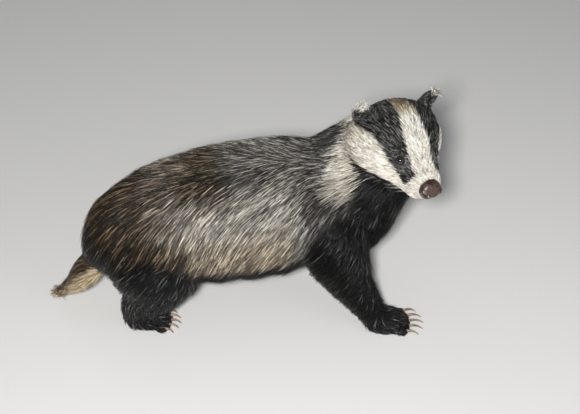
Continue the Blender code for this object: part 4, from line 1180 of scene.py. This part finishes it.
# The legs and paws. Short glossy black hair that runs down the legs and out over the toes, shorter on
# the paws, and none under the soles.
leg_share = rise(on_fore + on_hind + on_paw - upper_leg * 0.8, 0.25, 0.6) * rise(points[:, 2], 0.002, 0.006)
paw_share = rise(on_paw, 0.3, 0.7)
# Banding cuts the pale hairs of the legs short, so their painted glints stay small
LEG_HAIR = dict(SHORT_HAIR, lift=(-0.12, 0.70, 1.0), ridge=0.32, width=0.0011, shade=(0.5, 0.95, 1.1),
                banded=0.6, stray=0.16, lock_of=7, clump=0.55, ragged=0.002, streaks=1.0, seen=1, free=0.1)
LEG_HAIR["length"] = 0.022 - 0.007 * rise(0.11 - body[:, 2], 0, 0.05) - 0.005 * paw_share
LEG_HAIR["height"] = 0.0046 - 0.0026 * paw_share
LEG_GUARD = dict(LEG_HAIR, shares=(0.0, 0.33, 0.68, 1.0), lift=(-0.10, 0.6, 0.9, 1.1), width=0.0010,
                 breadth=(0.8, 1.0, 0.7), shade=(0.4, 0.9, 1.1, 1.2), length=LEG_HAIR["length"] * 1.15,
                 height=LEG_HAIR["height"] * 1.3, seen=2)
LEG_LAYERS = (("coat", LEG_HAIR, 0.0022, leg_share),
              ("guard", LEG_GUARD, 0.0033, leg_share * (1 - 0.7 * paw_share)))
for layer, shape, spacing, share in LEG_LAYERS:
    leg_roots = plant(spacing, share, draw)
    place = leg_roots["root"] - body_origin
    fore, right = place[:, 0] > 0, place[:, 1] < 0
    limbs = {"fore_right": fore & right, "fore_left": fore & ~right, "hind_right": ~fore & right,
             "hind_left": ~fore & ~right}
    for name, keep in limbs.items():
        grow(layer + "_leg_" + name, pick(leg_roots, keep), shape, draw, "coat_black")

# Studio: a pale plain floor and broad soft lights. It stands for no part of the animal.
FLOOR_HALF = 3.0
bpy.ops.mesh.primitive_plane_add(size=2 * FLOOR_HALF, location=(0, 0, 0))
floor = bpy.context.active_object
floor.name = "floor"
FLOOR_TONE, WORLD_TONE = (0.74, 0.73, 0.71, 1), (0.9, 0.93, 1.0, 1)
plain = new_material("floor")
shade(plain, {"Base Color": FLOOR_TONE, "Roughness": 0.9})
floor.data.materials.append(plain)

# Each light's place from the camera's aim, its size and its power
LIGHTS = {
    "key": ((-0.40, -1.45, 1.35), 0.22, 46.0),
    "fill": ((1.3, -1.4, 0.9), 1.2, 5.0),
    "back": ((-0.6, 1.8, 1.8), 1.5, 3.5),
}
for name, (where, size, power) in LIGHTS.items():
    lamp = bpy.data.lights.new(name, "AREA")
    lamp.shape, lamp.size, lamp.energy = "DISK", size, power
    light = bpy.data.objects.new(name, lamp)
    light.location = aim + Vector(where)
    light.rotation_euler = Vector(where).to_track_quat("Z", "Y").to_euler()
    bpy.context.scene.collection.objects.link(light)
world = bpy.data.worlds.new("studio")
world.use_nodes = True
feed(world, world.node_tree.nodes["Background"], {"Color": WORLD_TONE, "Strength": 0.15})
bpy.context.scene.world = world
bpy.context.scene.view_settings.view_transform = "Standard"
